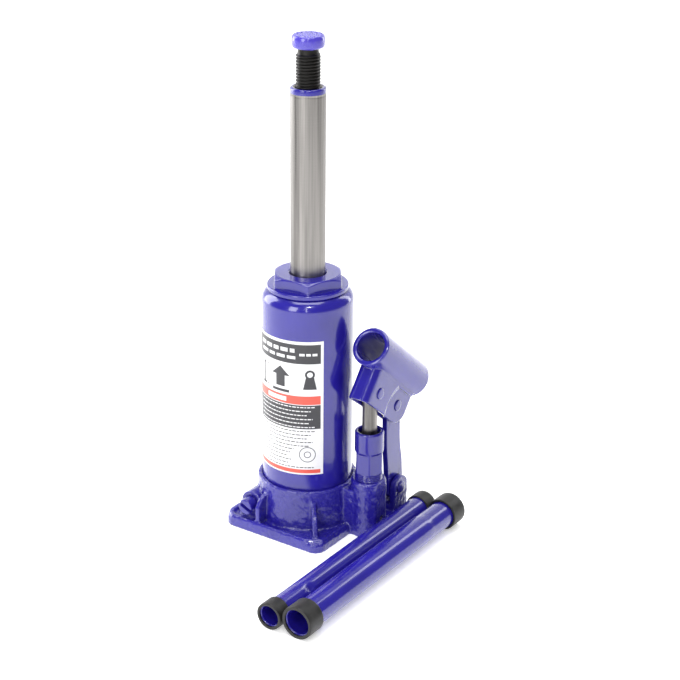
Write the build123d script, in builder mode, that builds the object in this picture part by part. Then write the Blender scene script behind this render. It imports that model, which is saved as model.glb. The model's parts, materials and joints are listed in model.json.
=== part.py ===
from build123d import *
from math import atan2, cos, degrees, hypot, radians, sin, sqrt
import os

os.makedirs("parts", exist_ok=True)

# Three-tonne hydraulic bottle jack with its two-piece handle lying beside it.
# Origin: middle of the foot's underside, on the ram axis. +Z up, +X towards the
# pump, +Y towards the pump's link; the handle socket opens towards -Y.
# The pose modelled: ram fully raised, extension screw partly out.

# --- lift and screw travel ---
LIFT = 118.0            # hydraulic stroke
SCREW_OUT = 24.7        # how far the extension screw stands out in this pose
SCREW_TRAVEL = 60.0     # whole travel of the extension screw
STUB = 5.5              # ram left above the nut when the jack is closed
RUN = 0.05              # running clearance, radial
PRESS = 0.02            # clearance of what is pressed or screwed in, radial
STAND = 0.3             # clear gap between moving faces that don't fit

# --- foot casting ---
FOOT_X = 79.4
FOOT_Y = 88.0
FOOT_T = 6.5
FOOT_CORNER = 8.0
SKIRT_R = 33.6
SKIRT_DRAFT = 1.8
SKIRT_Z = 34.5
TANK_FLOOR = 26.0       # inside the skirt
CYLINDER_SEAT = 20.0    # bottom of the recess that the ram cylinder stands in
RIB_T = 3.6

# --- reservoir, ram cylinder and nut ---
TANK_R = 30.6
TANK_WALL = 1.8
TANK_GASKET = 1.5
SHOULDER_R = 8.5        # rolled shoulder at the tank's top
SHOULDER_ARC = 70.0
NUT_FLANGE_Z = 169.05
NUT_FLANGE_T = 2.95
NUT_FLANGE_R = 26.95
NUT_HEX_H = 7.8
NUT_AF = 43.6
NUT_CORNER_AT = -54.5   # direction of one hexagon corner, degrees
NUT_SKIRT_R = 24.1
NUT_SKIRT_Z = 156.0
CYLINDER_R = 16.5
CYLINDER_WALL = 3.5
SEAT_GASKET = 1.0
BUSH_FLANGE_T = 1.5
BUSH_LENGTH = 10.0

# --- ram and extension screw ---
RAM_R = 11.5
RAM_BORE_R = 9.2
RAM_THREAD_DEPTH = 25.0
HEAD_H = 18.0           # piston head on the ram's foot
HEAD_SOCKET = 9.0
SCREW_R = 7.9
SCREW_PITCH = 2.0
SCREW_THREAD_H = 1.1
SCREW_NECK_R = 6.6
SCREW_NECK_H = 3.0
SADDLE_R = 10.6
SADDLE_H = 8.5
WASHER_T = 2.0

# --- pump ---
PUMP_X = 47.0
PUMP_Y = 4.9
BOSS_R = 12.0
BOSS_Z = 40.6
BOSS_SIDE_X = 57.4      # flat on the boss's outer side
PUMP_R = 9.8
PUMP_AF = 17.4
PUMP_THREAD_R = 8.75
PUMP_HEX_Z = 45.0
PUMP_COLLAR_Z = 62.0
PUMP_TOP = 76.0
PLUNGER_R = 5.0
PLUNGER_FOOT = 42.0
PACKING_R = 7.4
PACKING_H = 5.5
PACKING_DEEP = 9.0

# --- linkage: pump pin, fulcrum pin and lug pin, all along X ---
PIN1 = (PUMP_Y, 104.4)          # (Y, Z)
PIN2 = (31.5, 85.1)
PIN3 = (36.0, 22.0)
PIN_R = 3.0
LUG_PIN_R = 3.5
LUG_SLACK = 0.8                 # extra radius of the link's lower eye
LINK_T = 4.0
LINK_W = 18.5
EAR_R = 8.3
EAR_T = 4.2

# --- handle socket ---
SOCKET_TILT = 38.4              # elevation of the tube's axis
SOCKET_R = 13.1
SOCKET_BORE_R = 9.9
SOCKET_LENGTH = 66.5
SOCKET_RISE = 24.7              # tube axis above the pump pin
SOCKET_AHEAD = 20.0             # mouth ahead of the pump pin
SHEET = 2.6
CHEEK_DROP = 10.2               # cheeks' lower edge below the pump pin
WEB_AHEAD = 14.0                # front of the web ahead of the pump pin

# --- release valve ---
VALVE_X = -22.0
VALVE_Z = 17.0
VALVE_END_Y = -43.0
VALVE_R = 5.5
VALVE_THREAD_R = 5.0
VALVE_BOSS_R = 8.5
VALVE_BOSS_Y = -35.0

# --- handle tubes on the floor, along Y ---
LARGE_R = 9.5
LARGE_RING_R = 11.0
LARGE_RING_L = 13.5
SMALL_R = 7.8
SMALL_RING_R = 9.0
SMALL_RING_L = 10.5
TUBE_WALL = 1.2
TUBE_LENGTH = 183.0             # over the end rings
RING_LIP = 1.5
SMALL_X = 66.3
SMALL_Y = -135.3                # front faces
LARGE_Y = -134.2

# --- heights that follow ---
TANK_Z = TANK_FLOOR + TANK_GASKET
CYLINDER_Z = CYLINDER_SEAT + SEAT_GASKET
NUT_TOP = NUT_FLANGE_Z + NUT_FLANGE_T + NUT_HEX_H
BUSH_TOP = NUT_FLANGE_Z - 1.0
CYLINDER_TOP = BUSH_TOP - BUSH_FLANGE_T
BUSH_FOOT = BUSH_TOP - BUSH_LENGTH
CYLINDER_BORE_R = CYLINDER_R - CYLINDER_WALL
HEAD_TOP = BUSH_FOOT - 0.1
HEAD_FOOT = HEAD_TOP - HEAD_H
RAM_FOOT = HEAD_TOP - HEAD_SOCKET
RAM_TOP = NUT_TOP + STUB + LIFT
SADDLE_Z = RAM_TOP + SCREW_OUT
THREAD_FLOOR = RAM_TOP - RAM_THREAD_DEPTH
SCREW_FOOT = THREAD_FLOOR - (SCREW_TRAVEL - SCREW_OUT)

# --- oil passages in the foot ---
SUCTION_Z = 5.0
DELIVERY_Z = 12.0
PASSAGE_R = 1.6                 # risers and ball seats
DRILL_R = 1.8                   # the level drillings that join them
BALL_R = 2.5
BALL_CHAMBER_R = 3.0
SUCTION_SEAT_Z = 9.0
DELIVERY_SEAT_Z = 14.0
BALL_RISE = sqrt(BALL_R**2 - PASSAGE_R**2)
SUCTION_TURN = 160.0            # direction of the suction drilling from the pump
SUCTION_REACH = 28.0
SUCTION_IN = (
    PUMP_X + SUCTION_REACH * cos(radians(SUCTION_TURN)),
    PUMP_Y + SUCTION_REACH * sin(radians(SUCTION_TURN)),
)
STRAINER_R = 2.6
SAFETY_TURN = 100.0             # direction of the safety valve's drilling
SAFETY_SEAT = 19.0
SAFETY_BORE_R = 3.2
PLUG_L = 5.0


def drill_plane(x, y, z, turn):
    """Plane whose normal is horizontal and points in the direction turn."""
    ahead = (cos(radians(turn)), sin(radians(turn)), 0)
    return Plane(origin=(x, y, z), x_dir=(0, 0, 1), z_dir=ahead)


def radial_plane(turn):
    """Upright plane through the ram axis: local x points in the direction turn, local y up."""
    outwards = (cos(radians(turn)), sin(radians(turn)), 0)
    return Plane(origin=(0, 0, 0), x_dir=outwards, z_dir=(outwards[1], -outwards[0], 0))


def side_plane(x):
    """Plane with local x along +Y and local y along +Z, at the given X."""
    return Plane(origin=(x, 0, 0), x_dir=(0, 1, 0), z_dir=(1, 0, 0))


# ---------------------------------------------------------------- foot casting
BRIDGE_Z = SKIRT_Z - 1.5
BRIDGE_Y = (-6.5, PUMP_Y + BOSS_R - 0.5)
LUG_X = LINK_T / 2 + STAND + EAR_T
LUG_FLOOR = PIN3[1] - LINK_W / 2 - LUG_SLACK - 1.5
EXTENSION_X = 56.6
EXTENSION_Y = PIN3[0] + EAR_R
DELIVERY_TURN = degrees(atan2(PUMP_Y, PUMP_X))
RELEASE_SEAT_Y = -4.0
SKIRT_FOOT_R = SKIRT_R + SKIRT_DRAFT

with BuildPart() as base_casting:
    with BuildSketch():
        RectangleRounded(FOOT_X, FOOT_Y, FOOT_CORNER)
    extrude(amount=FOOT_T)
    fillet(base_casting.edges().group_by(Axis.Z)[-1], 2.0)
    with BuildSketch():
        with Locations((EXTENSION_X / 2, (BRIDGE_Y[0] + EXTENSION_Y) / 2)):
            RectangleRounded(EXTENSION_X, EXTENSION_Y - BRIDGE_Y[0], 5.0)
    extrude(amount=FOOT_T)
    # skirt round the tank, with casting draft and a rounded rim
    with BuildSketch(Plane.XZ):
        with BuildLine():
            Polyline(
                (0, 0), (SKIRT_FOOT_R, 0), (SKIRT_FOOT_R, FOOT_T), (SKIRT_R, SKIRT_Z - 2),
                (SKIRT_R - 0.6, SKIRT_Z - 0.6), (SKIRT_R - 2, SKIRT_Z), (0, SKIRT_Z), close=True,
            )
        make_face()
    revolve(axis=Axis.Z)
    # bridge to the pump boss, and the boss
    with BuildSketch():
        with Locations((PUMP_X / 2, sum(BRIDGE_Y) / 2)):
            Rectangle(PUMP_X, BRIDGE_Y[1] - BRIDGE_Y[0])
    extrude(amount=BRIDGE_Z)
    with BuildSketch():
        with Locations((PUMP_X, PUMP_Y)):
            Circle(BOSS_R)
            Rectangle(2 * BOSS_R, 4 * BOSS_R, align=(Align.CENTER, Align.CENTER), mode=Mode.INTERSECT)
    extrude(amount=BOSS_Z - 1.2)
    with BuildSketch(Plane.XY.offset(BOSS_Z - 1.2)):
        with Locations((PUMP_X, PUMP_Y)):
            Circle(BOSS_R - 0.8)
    extrude(amount=1.2)
    with BuildSketch():
        with Locations((BOSS_SIDE_X + BOSS_R, PUMP_Y)):
            Rectangle(2 * BOSS_R, 4 * BOSS_R)
    extrude(amount=BOSS_Z, mode=Mode.SUBTRACT)
    # clevis for the link, on a pad behind the pump
    with BuildSketch(side_plane(PUMP_X - LUG_X)):
        with Locations(PIN3):
            Circle(EAR_R)
        with Locations((PIN3[0], PIN3[1] / 2)):
            Rectangle(2 * EAR_R, PIN3[1])
    extrude(amount=2 * LUG_X)
    with BuildSketch():
        with Locations((PUMP_X - LUG_X - 6, PIN3[0] - 1)):
            Rectangle(14, 5)
    extrude(amount=PIN3[1] - 9)
    # ribs from the skirt to the corners of the foot
    for turn in (-48.0, 132.0, 228.0):
        with BuildSketch(radial_plane(turn)):
            with BuildLine():
                Polyline(
                    (SKIRT_R - 4, FOOT_T - 1), (SKIRT_R - 4, SKIRT_Z - 6), (SKIRT_R + 0.5, SKIRT_Z - 7),
                    (SKIRT_R + 13, FOOT_T + 2), (SKIRT_R + 15, FOOT_T - 1), close=True,
                )
            make_face()
        extrude(amount=RIB_T / 2, both=True)
    # release valve boss, with the cheek that guards the valve's end
    with BuildSketch(Plane(origin=(VALVE_X, 0, VALVE_Z), x_dir=(1, 0, 0), z_dir=(0, -1, 0))):
        Circle(VALVE_BOSS_R)
        with Locations((0, -VALVE_Z / 2)):
            Rectangle(2 * VALVE_BOSS_R, VALVE_Z)
    extrude(amount=-VALVE_BOSS_Y)
    with BuildSketch(side_plane(VALVE_X + VALVE_BOSS_R - 0.6)):
        with BuildLine():
            Polyline(
                (-20, 0), (-FOOT_Y / 2 + 2, 0), (-FOOT_Y / 2 + 2, VALVE_Z + 2),
                (-FOOT_Y / 2 + 6, VALVE_Z + 7), (-30, VALVE_Z + 10), (-20, VALVE_Z + 10), close=True,
            )
        make_face()
    extrude(amount=3.4)
    # raised edge along the foot's left side
    with BuildSketch():
        with Locations((-FOOT_X / 2 + 2.4, 0)):
            Rectangle(3.4, FOOT_Y - 2 * FOOT_CORNER)
    extrude(amount=FOOT_T + 2.5)

    # tank floor, cylinder recess and pump thread
    with BuildSketch(Plane.XY.offset(TANK_FLOOR)):
        Circle(TANK_R + 0.15)
    extrude(amount=BOSS_Z, mode=Mode.SUBTRACT)
    with BuildSketch(Plane.XY.offset(CYLINDER_SEAT)):
        Circle(CYLINDER_R + PRESS)
        with Locations((PUMP_X, PUMP_Y)):
            Circle(PUMP_THREAD_R + PRESS)
    extrude(amount=BOSS_Z, mode=Mode.SUBTRACT)
    # ball chambers under the pump and the ram, with their seats
    with BuildSketch(Plane.XY.offset(SUCTION_SEAT_Z)):
        with Locations((PUMP_X, PUMP_Y)):
            Circle(BALL_CHAMBER_R)
    extrude(amount=CYLINDER_SEAT - SUCTION_SEAT_Z, mode=Mode.SUBTRACT)
    with BuildSketch(Plane.XY.offset(DELIVERY_SEAT_Z)):
        Circle(BALL_CHAMBER_R)
    extrude(amount=CYLINDER_SEAT - DELIVERY_SEAT_Z, mode=Mode.SUBTRACT)
    with BuildSketch(Plane.XY.offset(SUCTION_Z)):
        with Locations((PUMP_X, PUMP_Y)):
            Circle(PASSAGE_R)
    extrude(amount=SUCTION_SEAT_Z - SUCTION_Z, mode=Mode.SUBTRACT)
    with BuildSketch(Plane.XY.offset(DELIVERY_Z)):
        Circle(PASSAGE_R)
    extrude(amount=DELIVERY_SEAT_Z - DELIVERY_Z, mode=Mode.SUBTRACT)
    # suction drilling from outside the boss to the riser in the tank floor
    with BuildSketch(drill_plane(PUMP_X, PUMP_Y, SUCTION_Z, SUCTION_TURN).offset(-2 * BOSS_R)):
        Circle(DRILL_R)
    extrude(amount=2 * BOSS_R + SUCTION_REACH, mode=Mode.SUBTRACT)
    with BuildSketch(Plane.XY.offset(SUCTION_Z)):
        with Locations(SUCTION_IN):
            Circle(PASSAGE_R)
    extrude(amount=TANK_FLOOR - SUCTION_Z, mode=Mode.SUBTRACT)
    with BuildSketch(Plane.XY.offset(TANK_FLOOR - 2)):
        with Locations(SUCTION_IN):
            Circle(STRAINER_R)
    extrude(amount=2, mode=Mode.SUBTRACT)
    # delivery drilling from outside the boss, past the pump chamber, to the middle
    with BuildSketch(drill_plane(0, 0, DELIVERY_Z, DELIVERY_TURN)):
        Circle(DRILL_R)
    extrude(amount=PUMP_X + 2 * BOSS_R, mode=Mode.SUBTRACT)
    # release drilling from the ram's ball chamber to the release valve's seat
    with BuildSketch(drill_plane(0, 0, VALVE_Z, 180).offset(DRILL_R)):
        Circle(DRILL_R)
    extrude(amount=FOOT_X / 2, mode=Mode.SUBTRACT)
    with BuildSketch(Plane(origin=(VALVE_X, 0, VALVE_Z), x_dir=(1, 0, 0), z_dir=(0, -1, 0))):
        Circle(PASSAGE_R)
    extrude(amount=-RELEASE_SEAT_Y + 0.5, mode=Mode.SUBTRACT)
    with BuildSketch(Plane(origin=(VALVE_X, RELEASE_SEAT_Y, VALVE_Z), x_dir=(1, 0, 0), z_dir=(0, -1, 0))):
        Circle(VALVE_THREAD_R + RUN)
    extrude(amount=FOOT_Y, mode=Mode.SUBTRACT)
    with BuildSketch(Plane.XY.offset(VALVE_Z)):
        with Locations((VALVE_X, RELEASE_SEAT_Y - 3.5)):
            Circle(PASSAGE_R)
    extrude(amount=TANK_FLOOR - VALVE_Z, mode=Mode.SUBTRACT)
    # safety valve: seat, spring bore and return riser
    with BuildSketch(drill_plane(0, 0, VALVE_Z, SAFETY_TURN).offset(DRILL_R)):
        Circle(PASSAGE_R)
    extrude(amount=SAFETY_SEAT - DRILL_R, mode=Mode.SUBTRACT)
    with BuildSketch(drill_plane(0, 0, VALVE_Z, SAFETY_TURN).offset(SAFETY_SEAT)):
        Circle(SAFETY_BORE_R)
    extrude(amount=SKIRT_FOOT_R, mode=Mode.SUBTRACT)
    with BuildSketch(Plane.XY.offset(VALVE_Z)):
        with PolarLocations(SAFETY_SEAT + SAFETY_BORE_R + PASSAGE_R, 1, start_angle=SAFETY_TURN):
            Circle(PASSAGE_R)
    extrude(amount=TANK_FLOOR - VALVE_Z, mode=Mode.SUBTRACT)
    # gap and pin hole of the clevis
    with BuildSketch(Plane.XY.offset(LUG_FLOOR)):
        with Locations((PUMP_X, PIN3[0])):
            Rectangle(LINK_T + 2 * STAND, 2 * EAR_R + 4)
    extrude(amount=PIN3[1] + EAR_R, mode=Mode.SUBTRACT)
    with BuildSketch(side_plane(PUMP_X - LUG_X - 1)):
        with Locations(PIN3):
            Circle(LUG_PIN_R + PRESS)
    extrude(amount=2 * LUG_X + 2, mode=Mode.SUBTRACT)
base_casting.part.label = "base_casting"
export_step(base_casting.part, "parts/base_casting.step")

# passage plugs, pressed into the drillings' open ends
SUCTION_PLUG_AT = (BOSS_SIDE_X - PUMP_X) / cos(radians(SUCTION_TURN - 180)) - 1.0
DELIVERY_PLUG_AT = BOSS_SIDE_X / cos(radians(DELIVERY_TURN)) - 1.0
RELEASE_PLUG_AT = SKIRT_R - 0.5
with BuildPart() as passage_plugs:
    with BuildSketch(drill_plane(PUMP_X, PUMP_Y, SUCTION_Z, SUCTION_TURN - 180).offset(SUCTION_PLUG_AT)):
        Circle(DRILL_R - PRESS)
    extrude(amount=-PLUG_L)
    with BuildSketch(drill_plane(0, 0, DELIVERY_Z, DELIVERY_TURN).offset(DELIVERY_PLUG_AT)):
        Circle(DRILL_R - PRESS)
    extrude(amount=-PLUG_L)
    with BuildSketch(drill_plane(0, 0, VALVE_Z, 180).offset(RELEASE_PLUG_AT)):
        Circle(DRILL_R - PRESS)
    extrude(amount=-PLUG_L)
passage_plugs.part.label = "passage_plugs"
export_step(passage_plugs.part, "parts/passage_plugs.step")

# gauze strainer over the suction riser
with BuildPart() as oil_strainer:
    with BuildSketch(Plane.XY.offset(TANK_FLOOR - 1.9)):
        with Locations(SUCTION_IN):
            Circle(STRAINER_R - PRESS)
    extrude(amount=1.6)
    with BuildSketch(Plane.XY.offset(TANK_FLOOR - 1.9)):
        with Locations(SUCTION_IN):
            with GridLocations(1.2, 1.2, 3, 3):
                Rectangle(0.7, 0.7)
    extrude(amount=1.6, mode=Mode.SUBTRACT)
oil_strainer.part.label = "oil_strainer"
export_step(oil_strainer.part, "parts/oil_strainer.step")

# check balls: one under the pump, one under the ram
for ball_name, ball_at in (
    ("suction_ball", (PUMP_X, PUMP_Y, SUCTION_SEAT_Z + BALL_RISE + PRESS)),
    ("delivery_ball", (0, 0, DELIVERY_SEAT_Z + BALL_RISE + PRESS)),
):
    with BuildPart() as ball:
        with Locations(ball_at):
            Sphere(BALL_R)
    ball.part.label = ball_name
    export_step(ball.part, f"parts/{ball_name}.step")

# safety valve: ball held on its seat by a spring behind a set screw
SAFETY_BALL_AT = SAFETY_SEAT + BALL_RISE + PRESS
SAFETY_SPRING_AT = SAFETY_BALL_AT + 1.75
SAFETY_SPRING_L = 6.0
SAFETY_SPRING_R = 2.2
SAFETY_SPRING_TURNS = 5
SAFETY_WIRE = 0.35
SAFETY_SCREW_L = 5.0
safety_axis = drill_plane(0, 0, VALVE_Z, SAFETY_TURN)
with BuildPart() as safety_ball:
    with Locations(safety_axis.offset(SAFETY_BALL_AT)):
        Sphere(BALL_R)
safety_ball.part.label = "safety_ball"
export_step(safety_ball.part, "parts/safety_ball.step")

with BuildPart() as safety_spring:
    with BuildLine():
        coil = Helix(
            SAFETY_SPRING_L / SAFETY_SPRING_TURNS, SAFETY_SPRING_L, SAFETY_SPRING_R,
            center=safety_axis.offset(SAFETY_SPRING_AT).origin, direction=safety_axis.z_dir,
        )
    with BuildSketch(Plane(origin=coil @ 0, z_dir=coil % 0)):
        Circle(SAFETY_WIRE)
    sweep(path=coil, is_frenet=True)
safety_spring.part.label = "safety_spring"
export_step(safety_spring.part, "parts/safety_spring.step")

with BuildPart() as safety_screw:
    with BuildSketch(safety_axis.offset(SAFETY_SPRING_AT + SAFETY_SPRING_L + SAFETY_WIRE)):
        Circle(SAFETY_BORE_R - PRESS)
    extrude(amount=SAFETY_SCREW_L)
    with BuildSketch(safety_axis.offset(SAFETY_SPRING_AT + SAFETY_SPRING_L + SAFETY_WIRE + SAFETY_SCREW_L)):
        RegularPolygon(1.6, 6)
    extrude(amount=-2.5, mode=Mode.SUBTRACT)
safety_screw.part.label = "safety_screw"
export_step(safety_screw.part, "parts/safety_screw.step")

# ------------------------------------------------- reservoir, cylinder and nut
with BuildPart() as cylinder_gasket:
    with BuildSketch(Plane.XY.offset(CYLINDER_SEAT)):
        Circle(CYLINDER_R - PRESS)
        Circle(CYLINDER_BORE_R, mode=Mode.SUBTRACT)
    extrude(amount=SEAT_GASKET)
cylinder_gasket.part.label = "cylinder_gasket"
export_step(cylinder_gasket.part, "parts/cylinder_gasket.step")

with BuildPart() as tank_gasket:
    with BuildSketch(Plane.XY.offset(TANK_FLOOR)):
        Circle(TANK_R)
        Circle(TANK_R - TANK_WALL - 1, mode=Mode.SUBTRACT)
    extrude(amount=TANK_GASKET)
tank_gasket.part.label = "tank_gasket"
export_step(tank_gasket.part, "parts/tank_gasket.step")

with BuildPart() as ram_cylinder:
    with BuildSketch(Plane.XY.offset(CYLINDER_Z)):
        Circle(CYLINDER_R)
        Circle(CYLINDER_BORE_R, mode=Mode.SUBTRACT)
    extrude(amount=CYLINDER_TOP - CYLINDER_Z)
ram_cylinder.part.label = "ram_cylinder"
export_step(ram_cylinder.part, "parts/ram_cylinder.step")

# tank tube with its top rolled in to a shoulder
SHOULDER_Z = NUT_FLANGE_Z - 0.05 - SHOULDER_R * sin(radians(SHOULDER_ARC))
FILLER_Z = 140.0
FILLER_R = 4.5
with BuildPart() as reservoir_tube:
    with BuildSketch(Plane.XZ):
        with BuildLine():
            wall_out = Line((TANK_R, TANK_Z), (TANK_R, SHOULDER_Z))
            roll_out = CenterArc((TANK_R - SHOULDER_R, SHOULDER_Z), SHOULDER_R, 0, SHOULDER_ARC)
            roll_in = CenterArc((TANK_R - SHOULDER_R, SHOULDER_Z), SHOULDER_R - TANK_WALL, 0, SHOULDER_ARC)
            Line(roll_out @ 1, roll_in @ 1)
            wall_in = Line((TANK_R - TANK_WALL, SHOULDER_Z), (TANK_R - TANK_WALL, TANK_Z))
            Line(wall_in @ 1, wall_out @ 0)
        make_face()
    revolve(axis=Axis.Z)
    with BuildSketch(Plane(origin=(0, 0, FILLER_Z), x_dir=(1, 0, 0), z_dir=(0, 1, 0))):
        Circle(FILLER_R)
    extrude(amount=TANK_R + 2, mode=Mode.SUBTRACT)
reservoir_tube.part.label = "reservoir_tube"
export_step(reservoir_tube.part, "parts/reservoir_tube.step")

# rubber filler plug in the tank's rear wall
FILLER_IN = TANK_R - TANK_WALL - 0.7
FILLER_OUT = TANK_R + 0.35
FILLER_EDGE = FILLER_Z + FILLER_R
with BuildPart() as filler_plug:
    with BuildSketch(Plane.YZ):
        with BuildLine():
            Polyline(
                (FILLER_IN - 3.3, FILLER_Z), (FILLER_IN - 3.3, FILLER_EDGE - 1),
                (FILLER_IN, FILLER_EDGE + 0.6), (FILLER_IN, FILLER_EDGE - PRESS),
                (FILLER_OUT, FILLER_EDGE - PRESS), (FILLER_OUT, FILLER_EDGE + 2),
                (FILLER_OUT + 1, FILLER_EDGE + 2), (FILLER_OUT + 1.8, FILLER_EDGE + 0.6),
                (FILLER_OUT + 2, FILLER_Z), close=True,
            )
        make_face()
    revolve(axis=Axis((0, 0, FILLER_Z), (0, 1, 0)))
filler_plug.part.label = "filler_plug"
export_step(filler_plug.part, "parts/filler_plug.step")

# printed label wrapped round the tank's front
LABEL_Z = (46.2, 142.2)
LABEL_FROM = -145.0
LABEL_SPAN = 110.0
LABEL_T = 0.25
with BuildPart() as tank_label:
    with BuildSketch(Plane.XY.offset(LABEL_Z[0])):
        with BuildLine():
            label_in = CenterArc((0, 0), TANK_R + PRESS, LABEL_FROM, LABEL_SPAN)
            label_out = CenterArc((0, 0), TANK_R + PRESS + LABEL_T, LABEL_FROM, LABEL_SPAN)
            Line(label_in @ 0, label_out @ 0)
            Line(label_in @ 1, label_out @ 1)
        make_face()
    extrude(amount=LABEL_Z[1] - LABEL_Z[0])
tank_label.part.label = "tank_label"
export_step(tank_label.part, "parts/tank_label.step")

# top nut: hexagon and flange above, threaded skirt over the cylinder below
WIPER_Z = NUT_TOP - 4.6
WIPER_H = 2.6
WIPER_R = RAM_R + 2.4
SEAL_GROOVE_Z = NUT_FLANGE_Z - 4.6
SEAL_R = 1.05
SEAL_GROOVE_H = 2.6
NECK_R = TANK_R - SHOULDER_R + (SHOULDER_R - TANK_WALL) * cos(radians(SHOULDER_ARC))
SEAL_GROOVE_R = NECK_R - 2 * (SEAL_R + PRESS)
with BuildPart() as top_nut:
    with BuildSketch(Plane.XY.offset(NUT_SKIRT_Z)):
        Circle(NUT_SKIRT_R)
    extrude(amount=NUT_FLANGE_Z - NUT_SKIRT_Z)
    with BuildSketch(Plane.XY.offset(NUT_FLANGE_Z)):
        Circle(NUT_FLANGE_R)
    extrude(amount=NUT_FLANGE_T)
    with BuildSketch(Plane.XY.offset(NUT_TOP - NUT_HEX_H)):
        RegularPolygon(NUT_AF / 2, 6, major_radius=False, rotation=NUT_CORNER_AT)
    extrude(amount=NUT_HEX_H)
    # corners turned off at 30 degrees
    with BuildSketch(Plane.XZ):
        with BuildLine():
            Polyline(
                (NUT_AF / 2 - 0.3, NUT_TOP), (NUT_AF / 2 + 5, NUT_TOP), (NUT_AF / 2 + 5, NUT_TOP - 3.1),
                close=True,
            )
        make_face()
    revolve(axis=Axis.Z, mode=Mode.SUBTRACT)
    with BuildSketch(Plane.XY.offset(NUT_SKIRT_Z)):
        Circle(CYLINDER_R + PRESS)
    extrude(amount=BUSH_TOP + PRESS - NUT_SKIRT_Z, mode=Mode.SUBTRACT)
    with BuildSketch(Plane.XY.offset(NUT_SKIRT_Z)):
        Circle(RAM_R + RUN)
    extrude(amount=NUT_TOP - NUT_SKIRT_Z, mode=Mode.SUBTRACT)
    # countersink, wiper groove and seal groove
    with BuildSketch(Plane.XZ):
        with BuildLine():
            Polyline(
                (RAM_R - 1, NUT_TOP), (RAM_R + 1.4, NUT_TOP), (RAM_R, NUT_TOP - 1.4),
                (RAM_R - 1, NUT_TOP - 1.4), close=True,
            )
        make_face()
        with Locations((RAM_R - 1, WIPER_Z)):
            Rectangle(WIPER_R + PRESS - RAM_R + 1, WIPER_H + 2 * PRESS, align=Align.MIN)
        with Locations((SEAL_GROOVE_R, SEAL_GROOVE_Z)):
            Rectangle(NUT_SKIRT_R + 1 - SEAL_GROOVE_R, SEAL_GROOVE_H, align=Align.MIN)
    revolve(axis=Axis.Z, mode=Mode.SUBTRACT)
top_nut.part.label = "top_nut"
export_step(top_nut.part, "parts/top_nut.step")

with BuildPart() as nut_seal:
    with BuildSketch(Plane.XZ):
        with Locations((NECK_R - PRESS - SEAL_R, SEAL_GROOVE_Z + SEAL_GROOVE_H / 2)):
            Circle(SEAL_R)
    revolve(axis=Axis.Z)
nut_seal.part.label = "nut_seal"
export_step(nut_seal.part, "parts/nut_seal.step")

with BuildPart() as rod_wiper:
    with BuildSketch(Plane.XY.offset(WIPER_Z + PRESS)):
        Circle(WIPER_R)
        Circle(RAM_R + RUN, mode=Mode.SUBTRACT)
    extrude(amount=WIPER_H)
rod_wiper.part.label = "rod_wiper"
export_step(rod_wiper.part, "parts/rod_wiper.step")

with BuildPart() as guide_bush:
    with BuildSketch(Plane.XY.offset(BUSH_FOOT)):
        Circle(CYLINDER_BORE_R - PRESS)
    extrude(amount=BUSH_LENGTH)
    with BuildSketch(Plane.XY.offset(CYLINDER_TOP)):
        Circle(CYLINDER_R - 0.5)
    extrude(amount=BUSH_FLANGE_T)
    with BuildSketch(Plane.XY.offset(BUSH_FOOT)):
        Circle(RAM_R + RUN)
    extrude(amount=BUSH_LENGTH, mode=Mode.SUBTRACT)
guide_bush.part.label = "guide_bush"
export_step(guide_bush.part, "parts/guide_bush.step")

# -------------------------------------------------------------------- ram
with BuildPart() as ram:
    with BuildSketch(Plane.XY.offset(RAM_FOOT)):
        Circle(RAM_R)
    extrude(amount=RAM_TOP - RAM_FOOT)
    chamfer(ram.edges().group_by(Axis.Z)[-1], 0.9)
    with BuildSketch(Plane.XY.offset(RAM_FOOT)):
        Circle(RAM_BORE_R)
    extrude(amount=THREAD_FLOOR - RAM_FOOT, mode=Mode.SUBTRACT)
    with BuildSketch(Plane.XY.offset(THREAD_FLOOR)):
        Circle(SCREW_R + RUN)
    extrude(amount=RAM_THREAD_DEPTH, mode=Mode.SUBTRACT)
    # shallow ring turned just below the painted end
    with BuildSketch(Plane.XY.offset(RAM_TOP - 5.4)):
        Circle(RAM_R + 1)
        Circle(RAM_R - 0.2, mode=Mode.SUBTRACT)
    extrude(amount=0.5, mode=Mode.SUBTRACT)
ram.part.label = "ram"
export_step(ram.part, "parts/ram.step")

# piston head, cup seal and its backing washer
CUP_GROOVE_R = RAM_R - 1.4
CUP_Z = HEAD_FOOT + 2.2
CUP_H = 4.6
BACKUP_H = 1.4
HEAD_R = CYLINDER_BORE_R - 0.07
with BuildPart() as piston_head:
    with BuildSketch(Plane.XY.offset(HEAD_FOOT)):
        Circle(HEAD_R)
    extrude(amount=HEAD_H)
    with BuildSketch(Plane.XY.offset(RAM_FOOT)):
        Circle(RAM_R + PRESS)
    extrude(amount=HEAD_SOCKET, mode=Mode.SUBTRACT)
    with BuildSketch(Plane.XY.offset(CUP_Z)):
        Circle(HEAD_R + 1)
        Circle(CUP_GROOVE_R, mode=Mode.SUBTRACT)
    extrude(amount=CUP_H + BACKUP_H + 2 * PRESS, mode=Mode.SUBTRACT)
piston_head.part.label = "piston_head"
export_step(piston_head.part, "parts/piston_head.step")

with BuildPart() as cup_seal:
    with BuildSketch(Plane.XZ):
        with BuildLine():
            Polyline(
                (CUP_GROOVE_R + PRESS, CUP_Z + PRESS), (CUP_GROOVE_R + 0.8, CUP_Z + PRESS),
                (CUP_GROOVE_R + 1.2, CUP_Z + 1.8), (HEAD_R - 0.9, CUP_Z + 1.8), (HEAD_R - 0.6, CUP_Z + PRESS),
                (HEAD_R, CUP_Z + PRESS), (HEAD_R, CUP_Z + CUP_H), (CUP_GROOVE_R + PRESS, CUP_Z + CUP_H),
                close=True,
            )
        make_face()
    revolve(axis=Axis.Z)
cup_seal.part.label = "cup_seal"
export_step(cup_seal.part, "parts/cup_seal.step")

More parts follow.
